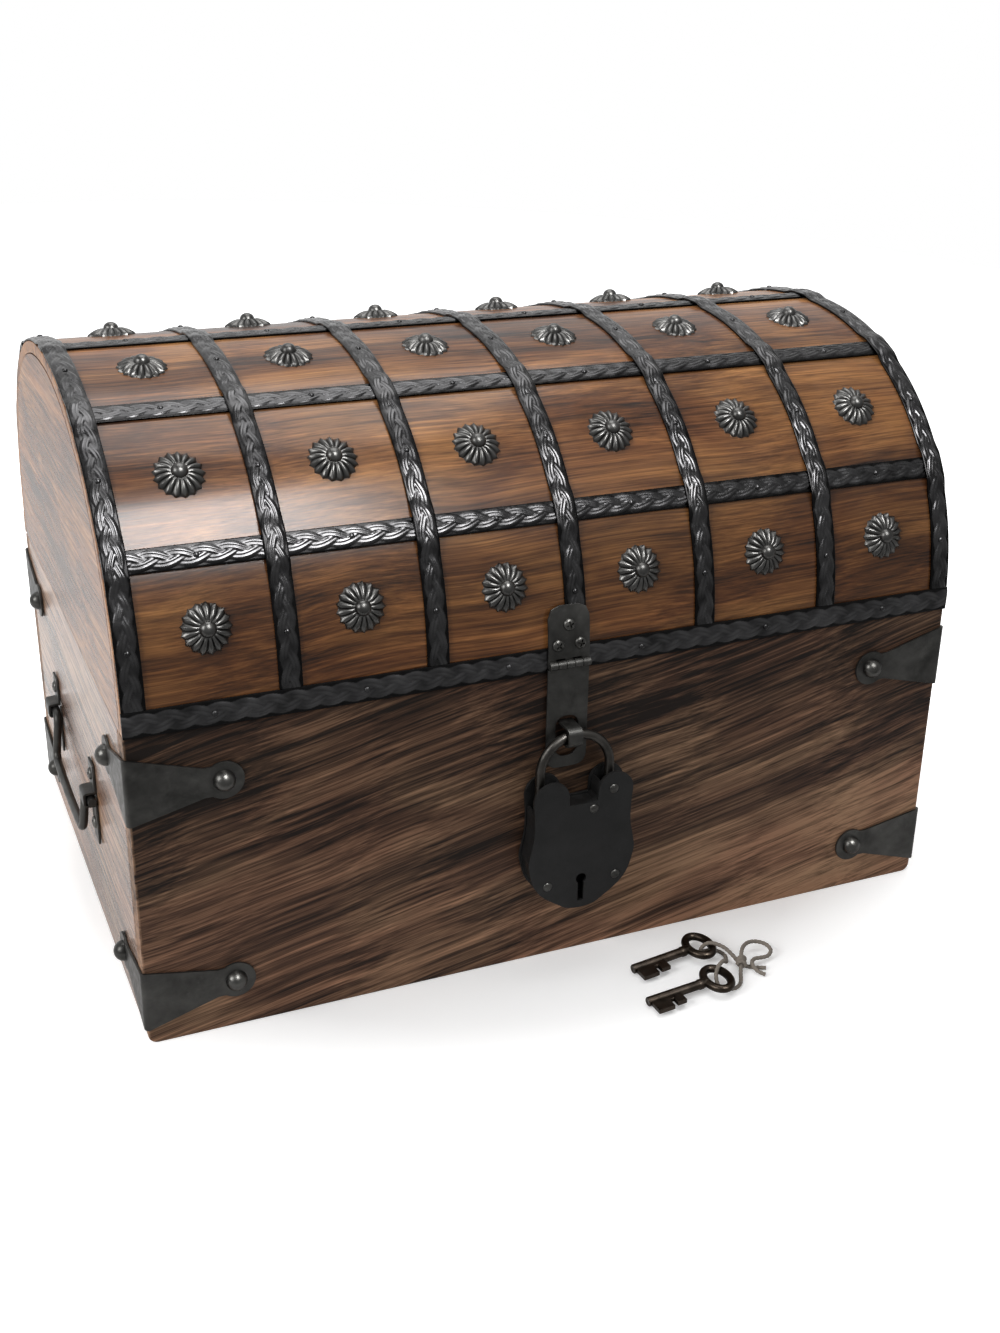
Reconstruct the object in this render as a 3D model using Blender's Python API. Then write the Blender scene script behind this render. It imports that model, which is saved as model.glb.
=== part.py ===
"""A wooden treasure chest with a domed, iron-banded lid, drop handles, a hasp, a padlock and tied keys.

Metres, +Z up. The origin is the middle of the underside, +X is the viewer's right and -Y the front.
"""

import math

import bmesh
import bpy
import numpy as np
from mathutils import Matrix, Vector

# Chest
WIDTH = 0.430
DEPTH = 0.293
BODY_HEIGHT = 0.159
LID_RISE = 0.137
BOARD = 0.012
BASE_BOARD = 0.009
STAVE = 0.006
CORNER_ROUND = 0.0045
GAP = 0.0003
SEAM = 0.0006

# Lid's arch: 34 facets, of which each rail has two and each of the six staves has five
ARCH_POWER = 2.2
ARCH_FACETS = 34
RAIL_FACETS = 2
STAVE_FACETS = 5
STAVES = 6

# Iron bands
IRON = 0.0012
BAND = 0.0108
RIM_BAND = 0.0120
BAND_RAMP = 0.003
BAND_INSET = 0.0003
BAYS = 6

# Rosettes, each with its dome nail
ROSETTE_RADIUS = 0.0118
ROSETTE_HEIGHT = 0.0040
ROSETTE_SEAT = 0.0024
ROSETTE_EDGE = 0.0009
ROSETTE_NAIL = 0.0024
ROSETTE_PETALS = 8
ROSETTE_CREST_SHARE = 0.46
ROSETTE_NAIL_SHARE = 0.30
PETAL_DIP_SHARE = 0.89

# Corner straps and their dome nails: each strap's bottom and top at the corner, and its eye.
# The upper ones are measured down from the top of the box and the lower ones up from its foot.
STRAP_REACH = 0.0428
STRAP_EYE_RADIUS = 0.0092
STRAP_NECK_SHARE = 0.80
STRAP_UPPER_DROPS = (0.0426, 0.0096, 0.0267)
STRAP_LOWER = (0.0083, 0.0398, 0.0262)
STRAP_NAIL_RADIUS = 0.0052
STRAP_NAIL_HEIGHT = 0.0050
STRAP_NAIL_SIDES = 8
NAIL_LEVEL_SHARES = ((1.0, 0.0), (0.92, 0.55), (0.50, 1.0))
EYE_STEPS = 10

# Screws
SCREW_RADIUS = 0.0032
SCREW_HEIGHT = 0.0016
SCREW_SIDES = 10
SCREW_LEVEL_SHARES = ((1.0, 0.0), (1.0, 0.50), (0.62, 1.0))

# Back hinges, in line with the bands at BACK_HINGE_BAND from the middle
BACK_HINGE_BAND = 2
HINGE_WIDTH = 0.026
HINGE_LEAF = 0.030
HINGE_SCREW_SHARES = (0.44, 0.80)
KNUCKLE_RADIUS = 0.0021
PIN_RADIUS = 0.0010
JOGGLE_NEAR = 0.0036
JOGGLE_FAR = 0.0060
HINGE_KNUCKLES = 3
KNUCKLE_SIDES = 12

# Hasp, with its pin this far above the lid's underside
HASP_X = -0.0045
HASP_WIDTH = 0.0216
HASP_PLATE = 0.0285
HASP_PIN_RISE = 0.0039
HASP_KNUCKLES = 5
HASP_LENGTH = 0.0550
HASP_CORNER = 0.0060
SLOT_WIDTH = 0.0120
SLOT_START = 0.0275
SLOT_END = 0.0490
SLOT_ROUND = 0.0050

# Staple that the hasp closes over
STAPLE_WIDTH = 0.0075
STAPLE_STRIP = 0.0015
STAPLE_RADIUS = 0.0035
STAPLE_ROOM = 0.0012

# Screws of the hasp's plate, from the hasp's pin up the lid
HASP_SCREW_RADIUS = 0.0030
HASP_SCREW_ROW = 0.0095
HASP_SCREW_TOP = 0.0190
HASP_SCREW_SPREAD = 0.0058

# Padlock, hung by the drop of its ring below the hasp's pin and of its heel below the ring's top
SHACKLE_RADIUS = 0.0024
SHACKLE_BEND = 0.0186
SHACKLE_OUT = 0.0085
SHACKLE_DROP = 0.0355
SHACKLE_OFF = 0.0025
LOCK_OFF = 0.0050
SHACKLE_STEPS = 14
LOCK_HALF = 0.0288
LOCK_HEIGHT = 0.0729
LOCK_DEPTH = 0.0125
LOCK_PLATE = 0.0015
HEEL_DROP = 0.0299
LOCK_WALL = 0.0012
LOCK_WALL_INSET = 0.0008
HEEL_BELOW = 0.0088
HEEL_EYE = 0.0036
HEEL_THICK = 0.0044
TOE_BELOW = 0.0150
RIVET_RADIUS = 0.0015
RIVET_HEAD = 0.0024
RIVET_PROUD = 0.0008
RIVET_CROWN_SHARE = 0.7
RIVET_SIDES = 8
KEYHOLE_RADIUS = 0.0028
KEYHOLE_TOP_SHARE = 0.229
KEYHOLE_DROP = 0.0127
KEYHOLE_SLOT = 0.0032
LOCK_SIDE_SHARES = (
    (0.326, 0.026), (0.535, 0.081), (0.750, 0.155), (0.910, 0.269), (1.000, 0.412), (0.944, 0.542),
    (0.906, 0.658), (0.910, 0.782), (0.924, 0.885), (0.826, 0.963), (0.646, 1.000), (0.451, 0.988),
    (0.319, 0.937), (0.278, 0.878), (0.271, 0.829), (0.229, 0.809),
)
WALL_CORNERS = 8
NOTCH_CORNERS = 4
LOCK_RIVET_SHARES = ((0.194, 0.753), (-0.635, 0.214), (0.656, 0.208))

# Drop handles on both ends, whose heights are measured from the lugs' middle below the top of the box
LUG_DROP = 0.0800
LUG_FRONT = -0.0455
LUG_BACK = 0.0666
LUG_WIDTH = 0.012
LUG_HALF = 0.0220
LOOP_BELOW = 0.0005
LOOP_ABOVE = 0.0075
LOOP_OUT = 0.0072
LUG_SCREW_RISES = (-0.0122, 0.0155)
BAIL_RADIUS = 0.0022
BAIL_OUT = 0.0031
BAIL_GRIP_OUT = 0.0062
BAIL_DROP = 0.0260
BAIL_BEND = 0.0060
BAIL_STUB = 0.0030
BAIL_SAG = 0.0015
BEND_STEPS = 5

# Keys on the floor, each placed by its shank's tip, as x and distance before the chest, and turned about it
KEY_PLACES = ((0.0225, 0.0330), (0.0165, 0.0605))
KEY_TURN_DEGREES = (4.36, 2.29)
KEY_LENGTH = 0.0480
KEY_SHANK = 0.0024
KEY_BOW_ALONG = 0.0060
KEY_BOW_ACROSS = 0.0090
KEY_BOW_BAR = 0.0021
KEY_BIT_START = 0.0010
KEY_BIT_NOTCH = 0.0100
KEY_BIT_END = 0.0175
KEY_BIT_REACH = 0.0100
KEY_BIT_THICK = 0.0024
KEY_NOTCH_WIDTH = 0.0022
KEY_NOTCH_DEPTH = 0.0055
KEY_BIT_STEP = 0.0015
KEY_RAISE = 0.0024
KEY_SIDES = 12
BOW_STEPS = 20

# Twine through both bows, as route points of x, distance before the chest and height
TWINE_RADIUS = 0.0008
TWINE_POINTS = 56
TWINE_ROUTE = (
    (0.0874, 0.0549, 0.0011),
    (0.0815, 0.0520, 0.0011),
    (0.0770, 0.0475, 0.0014),
    (0.0750, 0.0430, 0.0040),
    (0.0722, 0.0395, 0.0070),
    (0.0690, 0.0370, 0.0086),
    (0.0665, 0.0350, 0.0089),
    (0.0642, 0.0331, 0.0076),
    (0.0628, 0.0313, 0.0040),
    (0.0642, 0.0300, 0.0012),
    (0.0685, 0.0303, 0.0011),
    (0.0725, 0.0330, 0.0011),
    (0.0735, 0.0375, 0.0011),
    (0.0715, 0.0425, 0.0014),
    (0.0680, 0.0470, 0.0048),
    (0.0645, 0.0506, 0.0083),
    (0.0614, 0.0529, 0.0089),
    (0.0588, 0.0547, 0.0082),
    (0.0570, 0.0567, 0.0048),
    (0.0570, 0.0600, 0.0014),
    (0.0600, 0.0635, 0.0011),
    (0.0645, 0.0643, 0.0011),
    (0.0690, 0.0610, 0.0011),
    (0.0722, 0.0555, 0.0020),
    (0.0755, 0.0500, 0.0044),
    (0.0785, 0.0450, 0.0062),
    (0.0825, 0.0403, 0.0062),
    (0.0875, 0.0373, 0.0056),
    (0.0925, 0.0373, 0.0048),
    (0.0962, 0.0403, 0.0040),
    (0.0962, 0.0450, 0.0034),
    (0.0925, 0.0483, 0.0030),
    (0.0880, 0.0487, 0.0032),
    (0.0840, 0.0490, 0.0036),
    (0.0808, 0.0520, 0.0036),
    (0.0812, 0.0565, 0.0020),
    (0.0840, 0.0600, 0.0011),
)

# Numbers for meshing
MERGE = 0.00001
OVERRUN = 0.004
ARCH_SAMPLES = 6001
SMOOTH_STEPS = 24

LID_BASE = BODY_HEIGHT + SEAM
HALF_WIDTH = WIDTH / 2
HALF_DEPTH = DEPTH / 2
CAVITY_X = HALF_WIDTH - BOARD
CAVITY_Y = HALF_DEPTH - BOARD

# Heights that follow the box
STRAP_UPPER = tuple(BODY_HEIGHT - drop for drop in STRAP_UPPER_DROPS)
HASP_PIN_HEIGHT = LID_BASE + HASP_PIN_RISE
SHACKLE_TOP = HASP_PIN_HEIGHT - SHACKLE_DROP
HEEL_HEIGHT = LOCK_HEIGHT - HEEL_BELOW
TOE_HEIGHT = LOCK_HEIGHT - TOE_BELOW
LOCK_BOTTOM = SHACKLE_TOP - HEEL_DROP - HEEL_HEIGHT
KEYHOLE_TOP = KEYHOLE_TOP_SHARE * LOCK_HEIGHT
KEYHOLE_END = KEYHOLE_TOP - KEYHOLE_DROP
LUG_MIDDLE = BODY_HEIGHT - LUG_DROP
LUG_BOTTOM = LUG_MIDDLE - LUG_HALF
LUG_TOP = LUG_MIDDLE + LUG_HALF
LOOP_BOTTOM = LUG_MIDDLE - LOOP_BELOW
LOOP_TOP = LUG_MIDDLE + LOOP_ABOVE
LUG_SCREWS = tuple(LUG_MIDDLE + rise for rise in LUG_SCREW_RISES)

# A sheet laid over another is raised by a step; hinge leaves lie over a band, and their pins stand in front
SHEET_STEP = GAP + IRON
LEAF_BACK = SHEET_STEP + GAP
LEAF_FRONT = LEAF_BACK + IRON
KNUCKLE_OUT = LEAF_BACK + KNUCKLE_RADIUS


for old in list(bpy.data.objects):
    bpy.data.objects.remove(old, do_unlink=True)

PARTS = bpy.data.collections.new("treasure_chest")
CUTTERS = bpy.data.collections.new("cutters")
bpy.context.scene.collection.children.link(PARTS)
bpy.context.scene.collection.children.link(CUTTERS)
CUTTERS.hide_render = True


def material(name, colour, roughness, metallic):
    """A plain Principled material."""
    made = bpy.data.materials.new(name)
    made.use_nodes = True
    made.diffuse_color = (*colour, 1.0)
    shader = made.node_tree.nodes["Principled BSDF"]
    shader.inputs["Base Color"].default_value = (*colour, 1.0)
    shader.inputs["Roughness"].default_value = roughness
    shader.inputs["Metallic"].default_value = metallic
    return made


BODY_WOOD = material("body_wood", (0.085, 0.045, 0.028), 0.50, 0.0)
LID_WOOD = material("lid_wood", (0.120, 0.058, 0.030), 0.42, 0.0)
BAND_IRON = material("band_iron", (0.035, 0.037, 0.040), 0.42, 0.8)
PLAIN_IRON = material("plain_iron", (0.055, 0.058, 0.062), 0.50, 0.7)
NAIL_IRON = material("nail_iron", (0.060, 0.062, 0.066), 0.40, 0.8)
LOCK_BLACK = material("lock_black", (0.020, 0.020, 0.021), 0.55, 0.5)
SHACKLE_STEEL = material("shackle_steel", (0.045, 0.043, 0.040), 0.40, 0.8)
KEY_BRONZE = material("key_bronze", (0.052, 0.040, 0.032), 0.45, 0.8)
TWINE_FIBRE = material("twine_fibre", (0.210, 0.180, 0.150), 0.90, 0.0)


def keep(name, bm, colour, origin=(0, 0, 0)):
    """Make a mesh object of the part, with its origin at the given point."""
    bmesh.ops.recalc_face_normals(bm, faces=bm.faces)
    mesh = bpy.data.meshes.new(name)
    bm.to_mesh(mesh)
    bm.free()
    mesh.transform(Matrix.Translation(-Vector(origin)))
    mesh.materials.append(colour)
    made = bpy.data.objects.new(name, mesh)
    made.location = origin
    PARTS.objects.link(made)
    return made


def cutter(name, bm):
    """Make a hidden mesh object that only a Boolean uses."""
    bmesh.ops.recalc_face_normals(bm, faces=bm.faces)
    mesh = bpy.data.meshes.new(name)
    bm.to_mesh(mesh)
    bm.free()
    made = bpy.data.objects.new(name, mesh)
    made.display_type = "WIRE"
    made.hide_render = True
    CUTTERS.objects.link(made)
    return made


def boolean(target, tool, kind):
    """Join a Boolean modifier with the exact solver to the target."""
    step = target.modifiers.new(tool.name, "BOOLEAN")
    step.operation = kind
    step.solver = "EXACT"
    step.object = tool


def add_block(bm, x_low, x_high, y_low, y_high, z_low, z_high):
    """Add a box between the given faces."""
    size = Vector((x_high - x_low, y_high - y_low, z_high - z_low))
    middle = Vector((x_low + x_high, y_low + y_high, z_low + z_high)) / 2
    place = Matrix.Translation(middle) @ Matrix.Diagonal((*size, 1))
    return bmesh.ops.create_cube(bm, size=1, matrix=place)["verts"]


def add_prism(bm, outline, place, depth):
    """Add a solid: an outline in its own plane, drawn out along the local Z of the placing matrix."""
    ring = [bm.verts.new(place @ Vector((u, v, 0))) for u, v in outline]
    face = bm.faces.new(ring)
    drawn = bmesh.ops.extrude_face_region(bm, geom=[face], use_keep_orig=True)["geom"]
    moved = [g for g in drawn if isinstance(g, bmesh.types.BMVert)]
    bmesh.ops.translate(bm, verts=moved, vec=place.to_3x3() @ Vector((0, 0, depth)))
    return ring + moved


def add_stack(bm, outline, place, levels):
    """Add a solid that rises along local Z through levels, each the outline at a scale and a height."""
    first = levels[0]
    ring = [bm.verts.new(Vector((u * first[0], v * first[0], first[1]))) for u, v in outline]
    made = list(ring)
    face = bm.faces.new(ring)
    for last, level in zip(levels, levels[1:]):
        drawn = bmesh.ops.extrude_face_region(bm, geom=[face], use_keep_orig=True)["geom"]
        if last is not first:
            bm.faces.remove(face)
        face = next(g for g in drawn if isinstance(g, bmesh.types.BMFace))
        for vert in face.verts:
            vert.co.x *= level[0] / last[0]
            vert.co.y *= level[0] / last[0]
            vert.co.z = level[1]
        made += face.verts[:]
    bmesh.ops.transform(bm, matrix=place, verts=made)


def polygon(sides, radius):
    """A regular outline."""
    return [
        (radius * math.cos(2 * math.pi * k / sides), radius * math.sin(2 * math.pi * k / sides))
        for k in range(sides)
    ]


def scalloped(petals, radius):
    """An outline whose edge dips between its petals."""
    out = []
    for k in range(2 * petals):
        here = radius * (1 if k % 2 == 0 else PETAL_DIP_SHARE)
        out.append((here * math.cos(math.pi * k / petals), here * math.sin(math.pi * k / petals)))
    return out


def facing(point, normal, along):
    """A matrix at a point whose local Z is the normal and whose local X is near the along direction."""
    z = Vector(normal).normalized()
    x = (Vector(along) - z * Vector(along).dot(z)).normalized()
    y = z.cross(x)
    return Matrix.Translation(Vector(point)) @ Matrix((x, y, z)).transposed().to_4x4()


def upright(middle, out, width):
    """A matrix whose local X points out and local Y up, and whose local Z spans the width."""
    x = Vector(out)
    y = Vector((0, 0, 1))
    z = x.cross(y)
    return Matrix.Translation(Vector(middle) - z * width / 2) @ Matrix((x, y, z)).transposed().to_4x4()


def flip_y(normal):
    """The same direction seen at the back instead of the front."""
    return (normal[0], -normal[1], normal[2])


def rod_mesh(points, radius, resolution, cyclic=False):
    """The mesh of a round rod that follows the points."""
    data = bpy.data.curves.new("rod", "CURVE")
    data.dimensions = "3D"
    data.bevel_depth = radius
    data.bevel_resolution = resolution
    data.use_fill_caps = not cyclic
    line = data.splines.new("POLY")
    line.points.add(len(points) - 1)
    line.use_cyclic_u = cyclic
    for knot, point in zip(line.points, points):
        knot.co = (*point, 1)
    holder = bpy.data.objects.new("rod", data)
    PARTS.objects.link(holder)
    bpy.context.view_layer.update()
    seen = bpy.context.evaluated_depsgraph_get()
    mesh = bpy.data.meshes.new_from_object(holder.evaluated_get(seen))
    bm = bmesh.new()
    bm.from_mesh(mesh)
    bmesh.ops.remove_doubles(bm, verts=bm.verts, dist=MERGE)
    bpy.data.objects.remove(holder, do_unlink=True)
    bpy.data.meshes.remove(mesh)
    bpy.data.curves.remove(data)
    return bm


def arc(middle, radius, start, end, steps):
    """Points on an arc in a plane, both ends included."""
    return [
        (
            middle[0] + radius * math.cos(start + (end - start) * k / steps),
            middle[1] + radius * math.sin(start + (end - start) * k / steps),
        )
        for k in range(steps + 1)
    ]


def read_arch():
    """The corners of the lid's outer face over one end, their outward directions, and the arch's length."""
    turn = np.linspace(0, math.pi, ARCH_SAMPLES)
    y = -HALF_DEPTH * np.sign(np.cos(turn)) * np.abs(np.cos(turn)) ** (2 / ARCH_POWER)
    z = LID_RISE * np.abs(np.sin(turn)) ** (2 / ARCH_POWER)
    run = np.concatenate(([0], np.cumsum(np.hypot(np.diff(y), np.diff(z)))))
    want = np.linspace(0, run[-1], ARCH_FACETS + 1)
    corners = np.stack([np.interp(want, run, y), LID_BASE + np.interp(want, run, z)], 1)
    edge = np.diff(corners, axis=0)
    edge /= np.linalg.norm(edge, axis=1)[:, None]
    normal = np.stack([-edge[:, 1], edge[:, 0]], 1)
    outward = np.zeros_like(corners)
    outward[0] = (-1, 0)
    outward[-1] = (1, 0)
    for k in range(1, ARCH_FACETS):
        both = normal[k - 1] + normal[k]
        both /= np.linalg.norm(both)
        outward[k] = both / both.dot(normal[k])
    return corners, outward, normal, run[-1]


ARCH_CORNERS, ARCH_OUTWARD, ARCH_NORMALS, ARCH_LENGTH = read_arch()
FACET = ARCH_LENGTH / ARCH_FACETS


def arch_point(run, lift):
    """Depth and height of a point over the lid, at a distance round from the front and a lift."""
    place = min(max(run / FACET, 0), ARCH_FACETS)
    k = min(int(place), ARCH_FACETS - 1)
    part = place - k
    low = ARCH_CORNERS[k] + lift * ARCH_OUTWARD[k]
    high = ARCH_CORNERS[k + 1] + lift * ARCH_OUTWARD[k + 1]
    y, z = low * (1 - part) + high * part
    return float(y), float(z)


def arch_normal(run):
    """The outward direction of the facet at a distance round from the front."""
    k = min(int(run / FACET), ARCH_FACETS - 1)
    return (0, float(ARCH_NORMALS[k][0]), float(ARCH_NORMALS[k][1]))


def stations(low, high):
    """Distances round the arch from low to high with every facet corner between, none of them crowded."""
    inner = [k * FACET for k in range(ARCH_FACETS + 1) if low + FACET / 8 < k * FACET < high - FACET / 8]
    return [low, *inner, high]


def add_wrapped(bm, x_low, x_high, rounds, lift_low, lift_high):
    """Add a strip bent over the lid; each station is a distance round and the strip's raise there."""
    count = len(rounds) - 1
    grid = bmesh.ops.create_grid(bm, x_segments=1, y_segments=count, size=1)["verts"]
    faces = list({f for v in grid for f in v.link_faces})
    drawn = bmesh.ops.extrude_face_region(bm, geom=faces, use_keep_orig=True)["geom"]
    upper = {g for g in drawn if isinstance(g, bmesh.types.BMVert)}
    for vert in [*grid, *upper]:
        x = x_low if vert.co.x < 0 else x_high
        run, raised = rounds[round((vert.co.y + 1) / 2 * count)]
        y, z = arch_point(run, raised + (lift_high if vert in upper else lift_low))
        vert.co = (x, y, z)


# Box
LID_HINGE = (0, HALF_DEPTH + KNUCKLE_OUT, BODY_HEIGHT + SEAM / 2)


def round_foot(bm, side_of):
    """Round the bottom edges that run front to back at the given sides of a board."""
    foot = [
        e
        for e in bm.edges
        if all(v.co.z < GAP and side_of(v.co.x) for v in e.verts)
        and abs(e.verts[0].co.x - e.verts[1].co.x) < GAP
    ]
    bmesh.ops.bevel(bm, geom=foot, offset=CORNER_ROUND, segments=3, profile=0.5, affect="EDGES")


for name, low, high in (("front_panel", -HALF_DEPTH, -CAVITY_Y), ("back_panel", CAVITY_Y, HALF_DEPTH)):
    bm = bmesh.new()
    add_block(bm, -HALF_WIDTH, HALF_WIDTH, low, high, 0, BODY_HEIGHT)
    round_foot(bm, lambda x: True)
    keep(name, bm, BODY_WOOD)

for name, low, high in (("left_panel", -HALF_WIDTH, -CAVITY_X), ("right_panel", CAVITY_X, HALF_WIDTH)):
    bm = bmesh.new()
    add_block(bm, low, high, GAP - CAVITY_Y, CAVITY_Y - GAP, 0, BODY_HEIGHT)
    round_foot(bm, lambda x: abs(x) > HALF_WIDTH - GAP)
    keep(name, bm, BODY_WOOD)

bm = bmesh.new()
add_block(bm, GAP - CAVITY_X, CAVITY_X - GAP, GAP - CAVITY_Y, CAVITY_Y - GAP, 0, BASE_BOARD)
keep("base_panel", bm, BODY_WOOD)


# Corner straps, each folded round a corner and held by a dome nail through each eye
def strap_leg(low, high, eye):
    """One leg's outline, from the corner's foot round the eye to its head, as distance and height."""
    turn = math.asin(STRAP_NECK_SHARE)
    neck = STRAP_EYE_RADIUS * STRAP_NECK_SHARE
    neck_u = STRAP_REACH - STRAP_EYE_RADIUS
    ring = arc((STRAP_REACH, eye), STRAP_EYE_RADIUS, turn - math.pi, math.pi - turn, EYE_STEPS)
    return [(0, low), (neck_u, eye - neck), *ring, (neck_u, eye + neck), (0, high)]


def strap_point(u, z, lift, side, end):
    """A point of a strap; u is positive along the front or back and negative along the chest's end."""
    if u > 0:
        return (side * (HALF_WIDTH - u), end * (HALF_DEPTH + lift), z)
    return (side * (HALF_WIDTH + lift), end * (HALF_DEPTH + (u if u < 0 else lift)), z)


def add_strap(bm, leg, side, end):
    """Add a corner strap."""
    low = bm.verts.new((*leg[0], 0))
    high = bm.verts.new((*leg[-1], 0))
    faces = []
    for way in (1, -1):
        loop = [low, *[bm.verts.new((way * u, z, 0)) for u, z in leg[1:-1]], high]
        faces.append(bm.faces.new(loop if way > 0 else loop[::-1]))
    flat = {v for f in faces for v in f.verts}
    drawn = bmesh.ops.extrude_face_region(bm, geom=faces, use_keep_orig=True)["geom"]
    upper = {g for g in drawn if isinstance(g, bmesh.types.BMVert)}
    for vert in flat | upper:
        lift = GAP + IRON if vert in upper else GAP
        vert.co = strap_point(vert.co.x, vert.co.y, lift, side, end)


def add_head(bm, point, normal, along, radius, height, sides, shares):
    """Add a turned head whose foot is sunk by half a sheet's thickness into the sheet that it holds."""
    sink = IRON / 2
    levels = [(scale, rise * (height + sink)) for scale, rise in shares]
    seat = Vector(point) - Vector(normal).normalized() * sink
    add_stack(bm, polygon(sides, radius), facing(seat, normal, along), levels)


for end, face_name in ((-1, "front"), (1, "back")):
    for side, side_name in ((-1, "left"), (1, "right")):
        for level_name, heights in (("upper", STRAP_UPPER), ("lower", STRAP_LOWER)):
            bm = bmesh.new()
            add_strap(bm, strap_leg(*heights), side, end)
            strap = keep(f"corner_strap_{face_name}_{side_name}_{level_name}", bm, PLAIN_IRON)
            nails = bmesh.new()
            lift = GAP + IRON
            on_face = (side * (HALF_WIDTH - STRAP_REACH), end * (HALF_DEPTH + lift), heights[2])
            on_end = (side * (HALF_WIDTH + lift), end * (HALF_DEPTH - STRAP_REACH), heights[2])
            for point, normal in ((on_face, (0, end, 0)), (on_end, (side, 0, 0))):
                add_head(
                    nails, point, normal, (0, 0, 1),
                    STRAP_NAIL_RADIUS, STRAP_NAIL_HEIGHT, STRAP_NAIL_SIDES, NAIL_LEVEL_SHARES,
                )
            boolean(strap, cutter(f"{strap.name}_nails", nails), "UNION")

# Lid: rails, staves with their rosettes, and ends
rail_end = RAIL_FACETS * FACET
seams = [rail_end + k * STAVE_FACETS * FACET for k in range(STAVES + 1)]
strips = [("lid_rail_front", 0, seams[0])]
strips += [(f"lid_stave_{k + 1}", seams[k], seams[k + 1]) for k in range(STAVES)]
strips += [("lid_rail_back", seams[-1], ARCH_LENGTH)]
staves = []
for name, low, high in strips:
    start = low + (GAP / 2 if low > 0 else 0)
    stop = high - (GAP / 2 if high < ARCH_LENGTH else 0)
    bm = bmesh.new()
    add_wrapped(bm, -HALF_WIDTH, HALF_WIDTH, [(run, 0) for run in stations(start, stop)], -STAVE, 0)
    staves.append(keep(name, bm, LID_WOOD, LID_HINGE))

BAND_PITCH = (WIDTH - 2 * BAND_INSET - BAND) / BAYS
first_row = (RIM_BAND + ARCH_LENGTH / BAYS) / 2
row_runs = [first_row]
row_runs += [ARCH_LENGTH * (k + 0.5) / BAYS for k in range(1, BAYS - 1)]
row_runs += [ARCH_LENGTH - first_row]
rosette_levels = [
    (1, -ROSETTE_SEAT),
    (1, ROSETTE_EDGE),
    (ROSETTE_CREST_SHARE, ROSETTE_HEIGHT),
    (ROSETTE_NAIL_SHARE, ROSETTE_HEIGHT + ROSETTE_NAIL),
]
for stave, run in zip(staves[1:-1], row_runs):
    y, z = arch_point(run, 0)
    bm = bmesh.new()
    for k in range(BAYS):
        x = (k + 0.5 - BAYS / 2) * BAND_PITCH
        place = facing((x, y, z), arch_normal(run), (1, 0, 0))
        add_stack(bm, scalloped(ROSETTE_PETALS, ROSETTE_RADIUS), place, rosette_levels)
    boolean(stave, cutter(f"{stave.name}_rosettes", bm), "UNION")

lid_end = [arch_point(k * FACET, -STAVE - GAP) for k in range(ARCH_FACETS + 1)]
for name, side in (("lid_end_left", -1), ("lid_end_right", 1)):
    bm = bmesh.new()
    add_prism(bm, lid_end, upright((side * (HALF_WIDTH - BOARD / 2), 0, 0), (0, 1, 0), BOARD), BOARD)
    keep(name, bm, LID_WOOD, LID_HINGE)

# Bands over the lid: cross bands run front to back, over the long bands
crossings = [ARCH_LENGTH * k / BAYS for k in range(1, BAYS)]
cross_start = RIM_BAND + GAP
cross_stop = ARCH_LENGTH - cross_start
half_band = BAND / 2


def cross_rounds():
    """Stations of a cross band: low between the long bands and raised over each of them."""
    ramps = []
    for run in crossings:
        ramps += [(run - half_band - BAND_RAMP, 0), (run - half_band - GAP, SHEET_STEP)]
        ramps += [(run + half_band + GAP, SHEET_STEP), (run + half_band + BAND_RAMP, 0)]
    clear = half_band + BAND_RAMP + GAP
    inside = half_band - GAP
    low = [r for r in stations(cross_start, cross_stop) if all(abs(r - c) > clear for c in crossings)]
    corners = [k * FACET for k in range(ARCH_FACETS + 1)]
    high = [r for r in corners if any(abs(r - c) < inside for c in crossings)]
    return sorted(ramps + [(r, 0) for r in low] + [(r, SHEET_STEP) for r in high])


for k in range(BAYS + 1):
    middle = (k - BAYS / 2) * BAND_PITCH
    bm = bmesh.new()
    add_wrapped(bm, middle - half_band, middle + half_band, cross_rounds(), GAP, GAP + IRON)
    keep(f"cross_band_{k + 1}", bm, BAND_IRON, LID_HINGE)

long_half = BAYS / 2 * BAND_PITCH + half_band
for k, run in enumerate(crossings):
    bm = bmesh.new()
    rounds = [(r, 0) for r in stations(run - half_band, run + half_band)]
    add_wrapped(bm, -long_half, long_half, rounds, GAP, GAP + IRON)
    keep(f"long_band_{k + 1}", bm, BAND_IRON, LID_HINGE)

for name, low in (("rim_band_front", 0), ("rim_band_back", ARCH_LENGTH - RIM_BAND)):
    bm = bmesh.new()
    add_wrapped(bm, -HALF_WIDTH, HALF_WIDTH, [(low, 0), (low + RIM_BAND, 0)], GAP, GAP + IRON)
    keep(name, bm, BAND_IRON, LID_HINGE)


# Hinged plates, drawn as distance off the wood and height
def curl(height, start, end):
    """A leaf's curl round its pin."""
    return arc((KNUCKLE_OUT, height), KNUCKLE_RADIUS, start, end, KNUCKLE_SIDES)


def knuckle_spans(middle, width, count):
    """The x spans of a hinge's knuckles, end to end."""
    each = width / count
    return [(middle - width / 2 + k * each, middle - width / 2 + (k + 1) * each) for k in range(count)]


def add_clearances(bm, spans, y, z):
    """Add boxes that clear the other leaf's knuckles from a leaf."""
    reach = KNUCKLE_RADIUS + GAP
    for low, high in spans:
        add_block(bm, low - GAP / 2, high + GAP / 2, y - reach, y + reach, z - reach, z + reach)


def add_rod_along_x(bm, middle, width, y, z, radius):
    """Add a round bar along X."""
    place = upright((middle, y, z), (0, 1, 0), width)
    add_prism(bm, polygon(KNUCKLE_SIDES, radius), place, width)


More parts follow.
